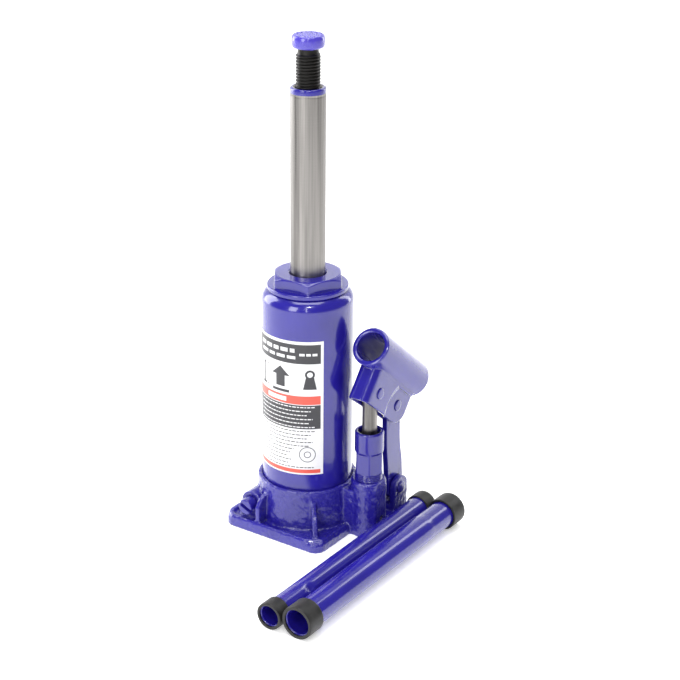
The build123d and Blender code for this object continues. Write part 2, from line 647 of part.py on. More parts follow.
with BuildPart() as backup_washer:
    with BuildSketch(Plane.XY.offset(CUP_Z + CUP_H + PRESS)):
        Circle(HEAD_R)
        Circle(CUP_GROOVE_R + PRESS, mode=Mode.SUBTRACT)
    extrude(amount=BACKUP_H - PRESS)
backup_washer.part.label = "backup_washer"
export_step(backup_washer.part, "parts/backup_washer.step")

# ------------------------------------------------------- extension screw
STUB_R = 5.0
CLIP_T = 1.2
CLIP_GROOVE_R = 4.2
CLIP_Z = SCREW_FOOT - WASHER_T - 0.1 - CLIP_T
STUB_FOOT = CLIP_Z - 2.0
THREAD_TOP = SADDLE_Z - SCREW_NECK_H
SADDLE_TOP = SADDLE_Z + SADDLE_H
KNURL_PITCH = 3.0
THREAD_ROOT_R = SCREW_R - SCREW_THREAD_H
screw_ridges = [(THREAD_ROOT_R, SCREW_FOOT)]
for turn in range(int((THREAD_TOP - SCREW_FOOT) / SCREW_PITCH)):
    for ridge_r, along in ((THREAD_ROOT_R, 0.15), (SCREW_R, 0.44), (SCREW_R, 0.56), (THREAD_ROOT_R, 0.85)):
        screw_ridges.append((ridge_r, SCREW_FOOT + (turn + along) * SCREW_PITCH))
with BuildPart() as extension_screw:
    with BuildSketch(Plane.XZ):
        with BuildLine():
            Polyline(
                (0, STUB_FOOT), (STUB_R - 0.6, STUB_FOOT), (STUB_R, STUB_FOOT + 0.6),
                (STUB_R, CLIP_Z - PRESS), (CLIP_GROOVE_R, CLIP_Z - PRESS),
                (CLIP_GROOVE_R, CLIP_Z + CLIP_T + PRESS), (STUB_R, CLIP_Z + CLIP_T + PRESS),
                (STUB_R, SCREW_FOOT), *screw_ridges,
                (SCREW_NECK_R, THREAD_TOP + 0.4), (SCREW_NECK_R, SADDLE_Z), (SADDLE_R - 1, SADDLE_Z),
                (SADDLE_R, SADDLE_Z + 1), (SADDLE_R, SADDLE_TOP - 1.2), (SADDLE_R - 0.4, SADDLE_TOP - 0.4),
                (SADDLE_R - 1.2, SADDLE_TOP), (0, SADDLE_TOP), close=True,
            )
        make_face()
    revolve(axis=Axis.Z)
    # crossed grooves on the saddle
    for groove_turn in (45, 135):
        with BuildSketch(Plane.XY.offset(SADDLE_TOP).rotated((0, 0, groove_turn))):
            with GridLocations(KNURL_PITCH, 0, 6, 1):
                Rectangle(0.9, 2.4 * SADDLE_R)
        extrude(amount=-0.5, mode=Mode.SUBTRACT)
extension_screw.part.label = "extension_screw"
export_step(extension_screw.part, "parts/extension_screw.step")

# loose stop washer on the screw's foot, and the clip that keeps it there
with BuildPart() as stop_washer:
    with BuildSketch(Plane.XY.offset(SCREW_FOOT - WASHER_T - RUN)):
        Circle(RAM_BORE_R - STAND)
        Circle(STUB_R + RUN, mode=Mode.SUBTRACT)
    extrude(amount=WASHER_T)
stop_washer.part.label = "stop_washer"
export_step(stop_washer.part, "parts/stop_washer.step")

with BuildPart() as screw_clip:
    with BuildSketch(Plane.XY.offset(CLIP_Z)):
        Circle(STUB_R + 2.4)
        Circle(CLIP_GROOVE_R + PRESS, mode=Mode.SUBTRACT)
        with Locations((0, -STUB_R)):
            Rectangle(1.6 * CLIP_GROOVE_R, 2 * STUB_R, mode=Mode.SUBTRACT)
    extrude(amount=CLIP_T)
screw_clip.part.label = "screw_clip"
export_step(screw_clip.part, "parts/screw_clip.step")

# ------------------------------------------------------------------- pump
PUMP_GASKET = 1.0
PUMP_FOOT = CYLINDER_SEAT + PUMP_GASKET
PLUNGER_BORE_R = PLUNGER_R + RUN
THREAD_X = PUMP_X + PUMP_THREAD_R
PUMP_RIDGE_PITCH = 1.3
# thread ends left showing between the boss and the flats
pump_ridges = []
for turn in range(3):
    for ridge_x, along in ((THREAD_X, 0.0), (THREAD_X + 0.5, 0.35), (THREAD_X + 0.5, 0.8), (THREAD_X, 1.15)):
        pump_ridges.append((ridge_x, BOSS_Z + 0.3 + turn * PUMP_RIDGE_PITCH + along))
with BuildPart() as pump_cylinder:
    with BuildSketch(Plane.XZ.offset(-PUMP_Y)):
        with BuildLine():
            Polyline(
                (PUMP_X, PUMP_FOOT), (THREAD_X - 1, PUMP_FOOT), (THREAD_X, PUMP_FOOT + 1), *pump_ridges,
                (THREAD_X, PUMP_HEX_Z), (PUMP_X + PUMP_R, PUMP_HEX_Z), (PUMP_X + PUMP_R, PUMP_TOP - 0.9),
                (PUMP_X + PUMP_R - 0.9, PUMP_TOP), (PUMP_X, PUMP_TOP), close=True,
            )
        make_face()
    revolve(axis=Axis((PUMP_X, PUMP_Y, 0), (0, 0, 1)))
    # spanner flats
    with BuildSketch(Plane.XY.offset(PUMP_HEX_Z)):
        with Locations((PUMP_X, PUMP_Y)):
            Circle(PUMP_R + 1)
            RegularPolygon(PUMP_AF / 2, 6, major_radius=False, rotation=NUT_CORNER_AT, mode=Mode.SUBTRACT)
    extrude(amount=PUMP_COLLAR_Z - PUMP_HEX_Z, mode=Mode.SUBTRACT)
    with BuildSketch(Plane.XY.offset(PUMP_FOOT)):
        with Locations((PUMP_X, PUMP_Y)):
            Circle(PLUNGER_BORE_R)
    extrude(amount=PUMP_TOP - PUMP_FOOT, mode=Mode.SUBTRACT)
    with BuildSketch(Plane.XY.offset(PUMP_TOP - PACKING_DEEP)):
        with Locations((PUMP_X, PUMP_Y)):
            Circle(PACKING_R)
    extrude(amount=PACKING_DEEP, mode=Mode.SUBTRACT)
pump_cylinder.part.label = "pump_cylinder"
export_step(pump_cylinder.part, "parts/pump_cylinder.step")

with BuildPart() as pump_gasket:
    with BuildSketch(Plane.XY.offset(CYLINDER_SEAT)):
        with Locations((PUMP_X, PUMP_Y)):
            Circle(PUMP_THREAD_R)
            Circle(PLUNGER_BORE_R, mode=Mode.SUBTRACT)
    extrude(amount=PUMP_GASKET)
pump_gasket.part.label = "pump_gasket"
export_step(pump_gasket.part, "parts/pump_gasket.step")

with BuildPart() as pump_packing:
    with BuildSketch(Plane.XY.offset(PUMP_TOP - PACKING_DEEP)):
        with Locations((PUMP_X, PUMP_Y)):
            Circle(PACKING_R - PRESS)
            Circle(PLUNGER_BORE_R, mode=Mode.SUBTRACT)
    extrude(amount=PACKING_H)
pump_packing.part.label = "pump_packing"
export_step(pump_packing.part, "parts/pump_packing.step")

RING_GROOVE_R = PLUNGER_R - 1.2
RING_GROOVE_Z = PLUNGER_FOOT + 4.0
RING_R = (PLUNGER_R - RING_GROOVE_R) / 2
with BuildPart() as pump_plunger:
    with BuildSketch(Plane.XY.offset(PLUNGER_FOOT)):
        with Locations((PUMP_X, PUMP_Y)):
            Circle(PLUNGER_R)
    extrude(amount=PIN1[1] + PLUNGER_R - PLUNGER_FOOT)
    with BuildSketch(Plane.XY.offset(RING_GROOVE_Z)):
        with Locations((PUMP_X, PUMP_Y)):
            Circle(PLUNGER_R + 1)
            Circle(RING_GROOVE_R, mode=Mode.SUBTRACT)
    extrude(amount=2 * RING_R + 0.2, mode=Mode.SUBTRACT)
    # eye: rounded over the pin, with the pin's hole
    with BuildSketch(side_plane(PUMP_X - PLUNGER_R - 1)):
        with Locations((PIN1[0], PIN1[1] + PLUNGER_R)):
            Rectangle(2 * PLUNGER_R + 2, 2 * PLUNGER_R)
        with Locations(PIN1):
            Circle(PLUNGER_R, mode=Mode.SUBTRACT)
            Circle(PIN_R + RUN)
    extrude(amount=2 * PLUNGER_R + 2, mode=Mode.SUBTRACT)
pump_plunger.part.label = "pump_plunger"
export_step(pump_plunger.part, "parts/pump_plunger.step")

with BuildPart() as plunger_ring:
    with BuildSketch(Plane.XZ.offset(-PUMP_Y)):
        with Locations((PUMP_X + PLUNGER_R - RING_R + PRESS, RING_GROOVE_Z + RING_R + 0.1)):
            Circle(RING_R - PRESS)
    revolve(axis=Axis((PUMP_X, PUMP_Y, 0), (0, 0, 1)))
plunger_ring.part.label = "plunger_ring"
export_step(plunger_ring.part, "parts/plunger_ring.step")

# ---------------------------------------------------------- handle socket
# The socket's own plane: local x along X, local y up from the pump pin, normal
# along the tube's axis towards the mouth.
tilt = radians(SOCKET_TILT)
toward_mouth = (0, -cos(tilt), sin(tilt))
tube_up = (0, sin(tilt), cos(tilt))


def socket_point(ahead, up):
    """(Y, Z) of a point given ahead of and above the pump pin in the socket's frame."""
    y = PIN1[0] - ahead * cos(tilt) + up * sin(tilt)
    z = PIN1[1] + ahead * sin(tilt) + up * cos(tilt)
    return y, z


def across_plane(ahead):
    """Plane across the socket tube, its origin on the pump pin's level."""
    y, z = socket_point(ahead, 0)
    return Plane(origin=(PUMP_X, y, z), x_dir=(1, 0, 0), z_dir=toward_mouth)


def level_plane(up):
    """Plane parallel to the socket tube, its local y pointing to the rear."""
    y, z = socket_point(0, up)
    return Plane(origin=(PUMP_X, y, z), x_dir=(1, 0, 0), z_dir=tube_up)


def cheek_plane(x):
    """Side plane in the socket's frame: local x to the rear, local y up."""
    return Plane(origin=(PUMP_X + x, *PIN1), x_dir=(0, cos(tilt), -sin(tilt)), z_dir=(1, 0, 0))


def ear_plane(side, x):
    """Plane at the pressed-in ears' middle, facing out of the given side."""
    middle = cheek_plane(side * x).from_local_coords((JOGGLE[0], JOGGLE[1], 0))
    return Plane(origin=middle, x_dir=(0, 1, 0), z_dir=(side, 0, 0))


SEATED = (Align.CENTER, Align.CENTER, Align.MIN)
REAR = SOCKET_LENGTH - SOCKET_AHEAD
CHEEK_IN = PLUNGER_R + STAND
CHEEK_OUT = CHEEK_IN + SHEET
EAR_IN = LINK_T / 2 + STAND
EAR_OUT = EAR_IN + SHEET
WEB_BEND = 6.0
CORNER_R = 11.5                 # rear lower corner of the cheeks
JOGGLE = (39.0, -3.0)           # middle of the pressed-in ears: to the rear, up
JOGGLE_R = 19.0
JOGGLE_RUN = 5.6
with BuildPart() as handle_socket:
    # cheeks joined by a bent web in front
    with BuildSketch(level_plane(-CHEEK_DROP)):
        with BuildLine():
            FilletPolyline(
                (CHEEK_OUT, REAR), (CHEEK_OUT, -WEB_AHEAD), (-CHEEK_OUT, -WEB_AHEAD), (-CHEEK_OUT, REAR),
                radius=WEB_BEND,
            )
            Line((-CHEEK_OUT, REAR), (CHEEK_OUT, REAR))
        make_face()
    extrude(amount=CHEEK_DROP + SOCKET_RISE)
    with BuildSketch(level_plane(-CHEEK_DROP)):
        with BuildLine():
            FilletPolyline(
                (CHEEK_IN, REAR + 1), (CHEEK_IN, SHEET - WEB_AHEAD), (-CHEEK_IN, SHEET - WEB_AHEAD),
                (-CHEEK_IN, REAR + 1), radius=WEB_BEND - SHEET,
            )
            Line((-CHEEK_IN, REAR + 1), (CHEEK_IN, REAR + 1))
        make_face()
    extrude(amount=CHEEK_DROP + SOCKET_RISE, mode=Mode.SUBTRACT)
    # ears at the fulcrum, pressed in towards the link
    for side in (1, -1):
        with Locations(ear_plane(side, EAR_IN)):
            Cone(JOGGLE_R - SHEET, JOGGLE_R - SHEET + JOGGLE_RUN, CHEEK_IN - EAR_IN + 0.2, align=SEATED)
        with Locations(ear_plane(side, EAR_OUT)):
            Cone(JOGGLE_R, JOGGLE_R + JOGGLE_RUN, CHEEK_OUT - EAR_OUT, align=SEATED, mode=Mode.SUBTRACT)
    # trim: lower edge, rear edge and the rounded rear corner
    with BuildSketch(cheek_plane(-2 * SOCKET_R)):
        with Locations((REAR - CORNER_R, CORNER_R - CHEEK_DROP)):
            Rectangle(4 * CORNER_R, 4 * CORNER_R, align=(Align.MIN, Align.MAX))
            Circle(CORNER_R, mode=Mode.SUBTRACT)
        with Locations((0, -CHEEK_DROP)):
            Rectangle(200, 60, align=(Align.CENTER, Align.MAX))
        with Locations((REAR, 0)):
            Rectangle(60, 200, align=(Align.MIN, Align.CENTER))
    extrude(amount=4 * SOCKET_R, mode=Mode.SUBTRACT)
    # the rolled tube over them
    with BuildSketch(across_plane(-REAR)):
        with Locations((0, SOCKET_RISE)):
            Circle(SOCKET_R)
    extrude(amount=SOCKET_LENGTH)
    with BuildSketch(across_plane(-REAR)):
        with Locations((0, SOCKET_RISE)):
            Circle(SOCKET_BORE_R)
    extrude(amount=SOCKET_LENGTH, mode=Mode.SUBTRACT)
    # pin holes
    with BuildSketch(side_plane(PUMP_X - SOCKET_R)):
        with Locations(PIN1, PIN2):
            Circle(PIN_R + PRESS)
    extrude(amount=2 * SOCKET_R, mode=Mode.SUBTRACT)
handle_socket.part.label = "handle_socket"
export_step(handle_socket.part, "parts/handle_socket.step")

# ------------------------------------------------------------------ pins
PIN_HEAD_EXTRA = 0.9
PIN_HEAD_T = 1.0
PIN_CLIP_T = 0.8
PIN_GROOVE_DEEP = 0.5
PIN_TAIL = 1.4                  # pin left beyond its clip
for pin_name, pin_at, pin_r, half_width in (
    ("piston_pin", PIN1, PIN_R, CHEEK_OUT),
    ("fulcrum_pin", PIN2, PIN_R, EAR_OUT),
    ("lug_pin", PIN3, LUG_PIN_R, LUG_X),
):
    head_x = half_width + PRESS
    tail_x = -half_width - PIN_CLIP_T - PIN_TAIL
    clip_x = -half_width - PRESS - PIN_CLIP_T
    with BuildPart() as pin:
        with BuildSketch(side_plane(PUMP_X + tail_x)):
            with Locations(pin_at):
                Circle(pin_r)
        extrude(amount=head_x - tail_x)
        with BuildSketch(side_plane(PUMP_X + head_x)):
            with Locations(pin_at):
                Circle(pin_r + PIN_HEAD_EXTRA)
        extrude(amount=PIN_HEAD_T)
        fillet(pin.edges().filter_by(GeomType.CIRCLE).group_by(Axis.X)[-1], 0.7)
        with BuildSketch(side_plane(PUMP_X + clip_x - PRESS)):
            with Locations(pin_at):
                Circle(pin_r + 1)
                Circle(pin_r - PIN_GROOVE_DEEP, mode=Mode.SUBTRACT)
        extrude(amount=PIN_CLIP_T + 2 * PRESS, mode=Mode.SUBTRACT)
    pin.part.label = pin_name
    export_step(pin.part, f"parts/{pin_name}.step")
    with BuildPart() as clip:
        with BuildSketch(side_plane(PUMP_X + clip_x)):
            with Locations(pin_at):
                Circle(pin_r + 1.6)
                Circle(pin_r - PIN_GROOVE_DEEP + PRESS, mode=Mode.SUBTRACT)
            with Locations((pin_at[0] + pin_r + 1, pin_at[1])):
                Rectangle(2 * pin_r + 2, 1.5 * pin_r, mode=Mode.SUBTRACT)
        extrude(amount=PIN_CLIP_T)
    clip.part.label = f"{pin_name}_clip"
    export_step(clip.part, f"parts/{pin_name}_clip.step")

# link from the foot's clevis to the fulcrum; its lower eye is the slack one
LINK_L = hypot(PIN2[0] - PIN3[0], PIN2[1] - PIN3[1])
LINK_TURN = degrees(atan2(PIN2[1] - PIN3[1], PIN2[0] - PIN3[0]))
with BuildPart() as link_plate:
    with BuildSketch(side_plane(PUMP_X - LINK_T / 2)):
        with Locations(((PIN2[0] + PIN3[0]) / 2, (PIN2[1] + PIN3[1]) / 2)):
            SlotCenterToCenter(LINK_L, LINK_W, rotation=LINK_TURN)
        with Locations(PIN2):
            Circle(PIN_R + RUN, mode=Mode.SUBTRACT)
        with Locations(PIN3):
            Circle(LUG_PIN_R + LUG_SLACK + RUN, mode=Mode.SUBTRACT)
    extrude(amount=LINK_T)
link_plate.part.label = "link_plate"
export_step(link_plate.part, "parts/link_plate.step")

# ---------------------------------------------------------- release valve
VALVE_RING_Y = -26.0
VALVE_RING_GROOVE_R = 3.4
VALVE_RING_R = (VALVE_THREAD_R - VALVE_RING_GROOVE_R) / 2
VALVE_HEAD_Y = VALVE_BOSS_Y - 0.6
VALVE_BALL_R = 2.0
VALVE_BALL_Y = RELEASE_SEAT_Y - sqrt(VALVE_BALL_R**2 - PASSAGE_R**2) - PRESS
VALVE_TIP_Y = VALVE_BALL_Y - VALVE_BALL_R - 0.05
valve_axis = Axis((VALVE_X, 0, VALVE_Z), (0, -1, 0))
with BuildPart() as release_valve:
    with BuildSketch(Plane(origin=(VALVE_X, 0, VALVE_Z), x_dir=(1, 0, 0), z_dir=(0, 0, 1))):
        with BuildLine():
            Polyline(
                (0, VALVE_TIP_Y), (VALVE_BALL_R, VALVE_TIP_Y), (VALVE_BALL_R + 0.6, VALVE_TIP_Y - 4),
                (VALVE_THREAD_R, VALVE_TIP_Y - 5), (VALVE_THREAD_R, VALVE_HEAD_Y), (VALVE_R, VALVE_HEAD_Y),
                (VALVE_R, VALVE_END_Y + 0.8), (VALVE_R - 0.8, VALVE_END_Y), (0, VALVE_END_Y), close=True,
            )
        make_face()
    revolve(axis=valve_axis)
    # groove for the O-ring
    with BuildSketch(Plane(origin=(VALVE_X, 0, VALVE_Z), x_dir=(1, 0, 0), z_dir=(0, 0, 1))):
        with Locations((VALVE_RING_GROOVE_R, VALVE_RING_Y)):
            Rectangle(VALVE_THREAD_R, 2 * VALVE_RING_R + 0.2, align=(Align.MIN, Align.CENTER))
    revolve(axis=valve_axis, mode=Mode.SUBTRACT)
    # cross slot for the handle's notched end
    with BuildSketch(Plane(origin=(VALVE_X, VALVE_END_Y, VALVE_Z), x_dir=(1, 0, 0), z_dir=(0, 1, 0))):
        Rectangle(2.2, 3 * VALVE_R, rotation=25)
    extrude(amount=4.0, mode=Mode.SUBTRACT)
release_valve.part.label = "release_valve"
export_step(release_valve.part, "parts/release_valve.step")

with BuildPart() as valve_ring:
    with BuildSketch(Plane(origin=(VALVE_X, 0, VALVE_Z), x_dir=(1, 0, 0), z_dir=(0, 0, 1))):
        with Locations((VALVE_RING_GROOVE_R + VALVE_RING_R, VALVE_RING_Y)):
            Circle(VALVE_RING_R - PRESS)
    revolve(axis=valve_axis)
valve_ring.part.label = "valve_ring"
export_step(valve_ring.part, "parts/valve_ring.step")

with BuildPart() as release_ball:
    with Locations((VALVE_X, VALVE_BALL_Y, VALVE_Z)):
        Sphere(VALVE_BALL_R)
release_ball.part.label = "release_ball"
export_step(release_ball.part, "parts/release_ball.step")

# ---------------------------------------------------------- handle tubes
RING_GAP = 0.35
RINGS_APART = LARGE_RING_R + SMALL_RING_R + RING_GAP
LARGE_X = SMALL_X + sqrt(RINGS_APART**2 - (LARGE_RING_R - SMALL_RING_R) ** 2)
for tube_name, tube_x, front_y, tube_r, ring_r, ring_l in (
    ("large_handle_tube", LARGE_X, LARGE_Y, LARGE_R, LARGE_RING_R, LARGE_RING_L),
    ("small_handle_tube", SMALL_X, SMALL_Y, SMALL_R, SMALL_RING_R, SMALL_RING_L),
):
    tube_front = Plane(origin=(tube_x, front_y, ring_r), x_dir=(1, 0, 0), z_dir=(0, 1, 0))
    with BuildPart() as tube:
        with BuildSketch(tube_front.offset(RING_LIP)):
            Circle(tube_r)
            Circle(tube_r - TUBE_WALL, mode=Mode.SUBTRACT)
        extrude(amount=TUBE_LENGTH - 2 * RING_LIP)
    tube.part.label = tube_name
    export_step(tube.part, f"parts/{tube_name}.step")
    # plastic end rings, open in the middle, with a lip over the tube's end
    with BuildPart() as rings:
        for ring_at in (0, TUBE_LENGTH - ring_l):
            with BuildSketch(tube_front.offset(ring_at)):
                Circle(ring_r)
                Circle(tube_r - TUBE_WALL + 0.4, mode=Mode.SUBTRACT)
            extrude(amount=ring_l)
        with BuildSketch(tube_front.offset(RING_LIP - PRESS)):
            Circle(tube_r + PRESS)
        extrude(amount=TUBE_LENGTH - 2 * RING_LIP + 2 * PRESS, mode=Mode.SUBTRACT)
    rings.part.label = tube_name.replace("handle_tube", "tube_rings")
    export_step(rings.part, f"parts/{rings.part.label}.step")
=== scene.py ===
import json
import math

import bmesh
import bpy
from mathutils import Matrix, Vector, noise


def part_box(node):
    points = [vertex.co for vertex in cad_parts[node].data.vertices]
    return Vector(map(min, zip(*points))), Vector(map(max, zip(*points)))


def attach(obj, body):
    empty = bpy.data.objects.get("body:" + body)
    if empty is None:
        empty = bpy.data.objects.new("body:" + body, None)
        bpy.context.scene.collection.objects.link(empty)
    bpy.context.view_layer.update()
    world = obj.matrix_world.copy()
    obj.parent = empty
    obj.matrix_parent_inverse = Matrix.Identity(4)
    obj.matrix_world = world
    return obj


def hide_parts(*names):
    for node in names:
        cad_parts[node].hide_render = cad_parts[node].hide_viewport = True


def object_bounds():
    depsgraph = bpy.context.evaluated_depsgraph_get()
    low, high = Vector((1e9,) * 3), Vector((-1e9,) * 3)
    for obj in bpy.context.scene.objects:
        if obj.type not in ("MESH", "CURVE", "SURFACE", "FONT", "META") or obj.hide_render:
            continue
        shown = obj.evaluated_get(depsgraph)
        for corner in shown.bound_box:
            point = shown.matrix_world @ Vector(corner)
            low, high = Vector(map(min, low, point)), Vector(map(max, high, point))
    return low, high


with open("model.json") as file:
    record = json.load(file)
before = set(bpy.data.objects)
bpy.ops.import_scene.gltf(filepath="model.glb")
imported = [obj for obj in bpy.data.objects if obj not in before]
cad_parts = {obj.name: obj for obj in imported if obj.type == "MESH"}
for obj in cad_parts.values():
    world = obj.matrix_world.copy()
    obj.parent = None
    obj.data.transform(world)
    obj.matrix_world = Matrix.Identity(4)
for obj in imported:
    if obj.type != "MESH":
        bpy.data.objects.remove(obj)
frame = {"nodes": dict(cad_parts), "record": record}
cad_box = [list(corner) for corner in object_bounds()]

# ---------------------------------------------------------------- foot casting
# Sand-cast iron foot with the tank's skirt, the pump boss, the release valve's
# boss and the clevis for the link all in one. It is dipped in thick blue enamel,
# which rounds its edges and pools in its corners. Its concave corners are also
# coloured a darker blue as painted shade.
MM = 0.001
ENAMEL_BLUE = (0.018, 0.012, 0.285, 1)
# darker blue used in random patches where the enamel lies thick, and as painted shade in concave corners
ENAMEL_THICK_AND_SHADE = (0.008, 0.004, 0.150, 1)
CAST_VOXEL = 0.62
CAST_LUMP = 0.30
CAST_LUMP_SIZE = 3.6
FOOT_TOP = 6.5
SKIRT_LIP_R = 32.6
SKIRT_LIP_Z = 33.2
SKIRT_LIP_T = 1.25


def new_group(name, inputs, outputs):
    """An empty shader node group with its sockets, and its input and output nodes."""
    group = bpy.data.node_groups.new(name, "ShaderNodeTree")
    for socket, kind, value in inputs:
        group.interface.new_socket(socket, in_out="INPUT", socket_type=kind).default_value = value
    for socket, kind in outputs:
        group.interface.new_socket(socket, in_out="OUTPUT", socket_type=kind)
    return group, group.nodes.new("NodeGroupInput"), group.nodes.new("NodeGroupOutput")


def add_node(tree, kind, settings=None, **inputs):
    """A node with its settings, and each input either linked or given a value."""
    node = tree.nodes.new(kind)
    for key, value in (settings or {}).items():
        setattr(node, key, value)
    for key, value in inputs.items():
        socket = node.inputs[int(key[1:]) if key[0] == "i" and key[1:].isdigit() else key]
        if isinstance(value, bpy.types.NodeSocket):
            tree.links.new(value, socket)
        else:
            socket.default_value = value
    return node


def blended(tree, factor, first, second):
    """Colour socket that goes from first to second as factor goes from 0 to 1."""
    mix = add_node(tree, "ShaderNodeMix", {"data_type": "RGBA"}, i0=factor, i6=first, i7=second)
    return mix.outputs[2]


def new_material(name, **inputs):
    """A material whose own shader has these constant inputs."""
    material = bpy.data.materials.new(name)
    material.use_nodes = True
    shader = material.node_tree.nodes["Principled BSDF"]
    for key, value in inputs.items():
        shader.inputs[key.replace("_", " ")].default_value = value
    return material


def use_group(material, group, links, **inputs):
    """Places a node group in a material and links its outputs to the shader."""
    tree = material.node_tree
    node = tree.nodes.new("ShaderNodeGroup")
    node.node_tree = group
    for key, value in inputs.items():
        node.inputs[key.replace("_", " ")].default_value = value
    for output, socket in links.items():
        tree.links.new(node.outputs[output], tree.nodes["Principled BSDF"].inputs[socket])
    return node


# enamel: orange peel, larger lumps, a darker colour in random cloudy patches where it lies thick, and the same
# darker colour in concave corners as painted shade
enamel, enamel_in, enamel_out = new_group(
    "Enamel",
    [("Colour", "NodeSocketColor", ENAMEL_BLUE), ("Pooled Colour", "NodeSocketColor", ENAMEL_THICK_AND_SHADE),
     ("Lump Scale", "NodeSocketFloat", 260.0), ("Lump Height", "NodeSocketFloat", 0.0),
     ("Peel Height", "NodeSocketFloat", 0.00001), ("Gloss Wear", "NodeSocketFloat", 0.1)],
    [("Colour", "NodeSocketColor"), ("Roughness", "NodeSocketFloat"), ("Normal", "NodeSocketVector")],
)
where = enamel.nodes.new("ShaderNodeTexCoord").outputs["Object"]
lumps = add_node(enamel, "ShaderNodeTexNoise", Vector=where, Scale=enamel_in.outputs["Lump Scale"], Detail=3.0)
peel = add_node(enamel, "ShaderNodeTexNoise", Vector=where, Scale=850.0, Detail=1.0)
cloud = add_node(enamel, "ShaderNodeTexNoise", Vector=where, Scale=38.0, Detail=3.0)
lump_part = add_node(enamel, "ShaderNodeMath", {"operation": "MULTIPLY"}, i0=lumps.outputs[0],
                     i1=enamel_in.outputs["Lump Height"])
peel_part = add_node(enamel, "ShaderNodeMath", {"operation": "MULTIPLY_ADD"}, i0=peel.outputs[0],
                     i1=enamel_in.outputs["Peel Height"], i2=lump_part.outputs[0])
relief = add_node(enamel, "ShaderNodeBump", Strength=1.0, Distance=1.0, Height=peel_part.outputs[0])
# painted shade: concave spots, found by pointiness, take the darker colour; the cloudy noise adds random thick
# patches of it
corner = enamel.nodes.new("ShaderNodeNewGeometry").outputs["Pointiness"]
painted_corner_shade = add_node(enamel, "ShaderNodeMapRange", i0=corner, i1=0.505, i2=0.44, i3=0.0, i4=1.0)
cloudy = add_node(enamel, "ShaderNodeMapRange", i0=cloud.outputs[0], i1=0.35, i2=0.75, i3=0.0, i4=0.45)
thick_and_shade = add_node(enamel, "ShaderNodeMath", {"operation": "MAXIMUM"}, i0=painted_corner_shade.outputs[0], i1=cloudy.outputs[0])
coat = blended(enamel, thick_and_shade.outputs[0], enamel_in.outputs["Colour"], enamel_in.outputs["Pooled Colour"])
worn = add_node(enamel, "ShaderNodeMath", {"operation": "MULTIPLY_ADD"}, i0=cloud.outputs[0],
                i1=enamel_in.outputs["Gloss Wear"], i2=0.16)
enamel.links.new(coat, enamel_out.inputs["Colour"])
enamel.links.new(worn.outputs[0], enamel_out.inputs["Roughness"])
enamel.links.new(relief.outputs[0], enamel_out.inputs["Normal"])
ENAMEL_LINKS = {"Colour": "Base Color", "Roughness": "Roughness", "Normal": "Normal"}

cast_enamel = new_material("cast_enamel", Specular_IOR_Level=0.5, Coat_Weight=0.6, Coat_Roughness=0.08)
use_group(cast_enamel, enamel, ENAMEL_LINKS, Lump_Scale=360.0, Lump_Height=0.0007, Peel_Height=0.00012,
          Gloss_Wear=0.2)


def show(name, mesh, *materials):
    """An object in the scene for the mesh, with its materials and smooth faces."""
    piece = bpy.data.objects.new(name, mesh)
    bpy.context.scene.collection.objects.link(piece)
    for material in materials:
        mesh.materials.append(material)
    mesh.shade_smooth()
    return piece


def fit(piece, body, slot, *nodes):
    """The piece moves with its body and stands for its CAD nodes."""
    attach(piece, body)
    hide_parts(*nodes)


def bar(shape, start, end, radius, parts=14):
    """Adds a closed round bar with domed ends to the shape, all in mm."""
    start, end = Vector(start) * MM, Vector(end) * MM
    axis = (end - start).normalized()
    side = axis.orthogonal().normalized()
    across = axis.cross(side)
    turns = [2 * math.pi * k / parts for k in range(parts)]
    loops = []
    for middle, way, leans in ((start, -1, (60, 30, 0)), (end, 1, (0, 30, 60))):
        for lean in map(math.radians, leans):
            lift = radius * MM * math.sin(lean) * way
            reach = radius * MM * math.cos(lean)
            loops.append([
                shape.verts.new(middle + axis * lift + (side * math.cos(a) + across * math.sin(a)) * reach)
                for a in turns
            ])
    shape.faces.new(loops[0][::-1])
    shape.faces.new(loops[-1])
    for lower, upper in zip(loops, loops[1:]):
        for k in range(parts):
            after = (k + 1) % parts
            shape.faces.new((lower[k], lower[after], upper[after], upper[k]))


def dipped(name, node, extras, voxel, passes, lump, lump_size, *materials):
    """The CAD node's shape with extras joined on, edges rounded and its skin made slightly lumpy."""
    bm = bmesh.new()
    bm.from_mesh(frame["nodes"][node].data)
    bmesh.ops.remove_doubles(bm, verts=bm.verts, dist=1e-7)
    if extras:
        extras(bm)
    bmesh.ops.recalc_face_normals(bm, faces=bm.faces)
    mesh = bpy.data.meshes.new(name)
    bm.to_mesh(mesh)
    bm.free()
    piece = show(name, mesh, *materials)
    remesh = piece.modifiers.new("skin", "REMESH")
    remesh.mode = "VOXEL"
    remesh.voxel_size = voxel * MM
    soften = piece.modifiers.new("rounded", "SMOOTH")
    soften.factor = 0.5
    soften.iterations = passes
    done = bpy.data.meshes.new_from_object(piece.evaluated_get(bpy.context.evaluated_depsgraph_get()))
    piece.modifiers.clear()
    low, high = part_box(node)
    spots = []
    for vertex in [(v.co.copy(), v.normal.copy()) for v in done.vertices]:
        bump = noise.noise(vertex[0] / (lump_size * MM)) + 0.5 * noise.noise(vertex[0] / (0.4 * lump_size * MM))
        spot = vertex[0] + vertex[1] * bump * lump * MM
        spots += [min(max(spot[k], low[k]), high[k]) for k in range(3)]
    done.vertices.foreach_set("co", spots)
    done.update()
    piece.data = done
    done.materials.clear()
    for material in materials:
        done.materials.append(material)
    done.shade_smooth()
    return piece


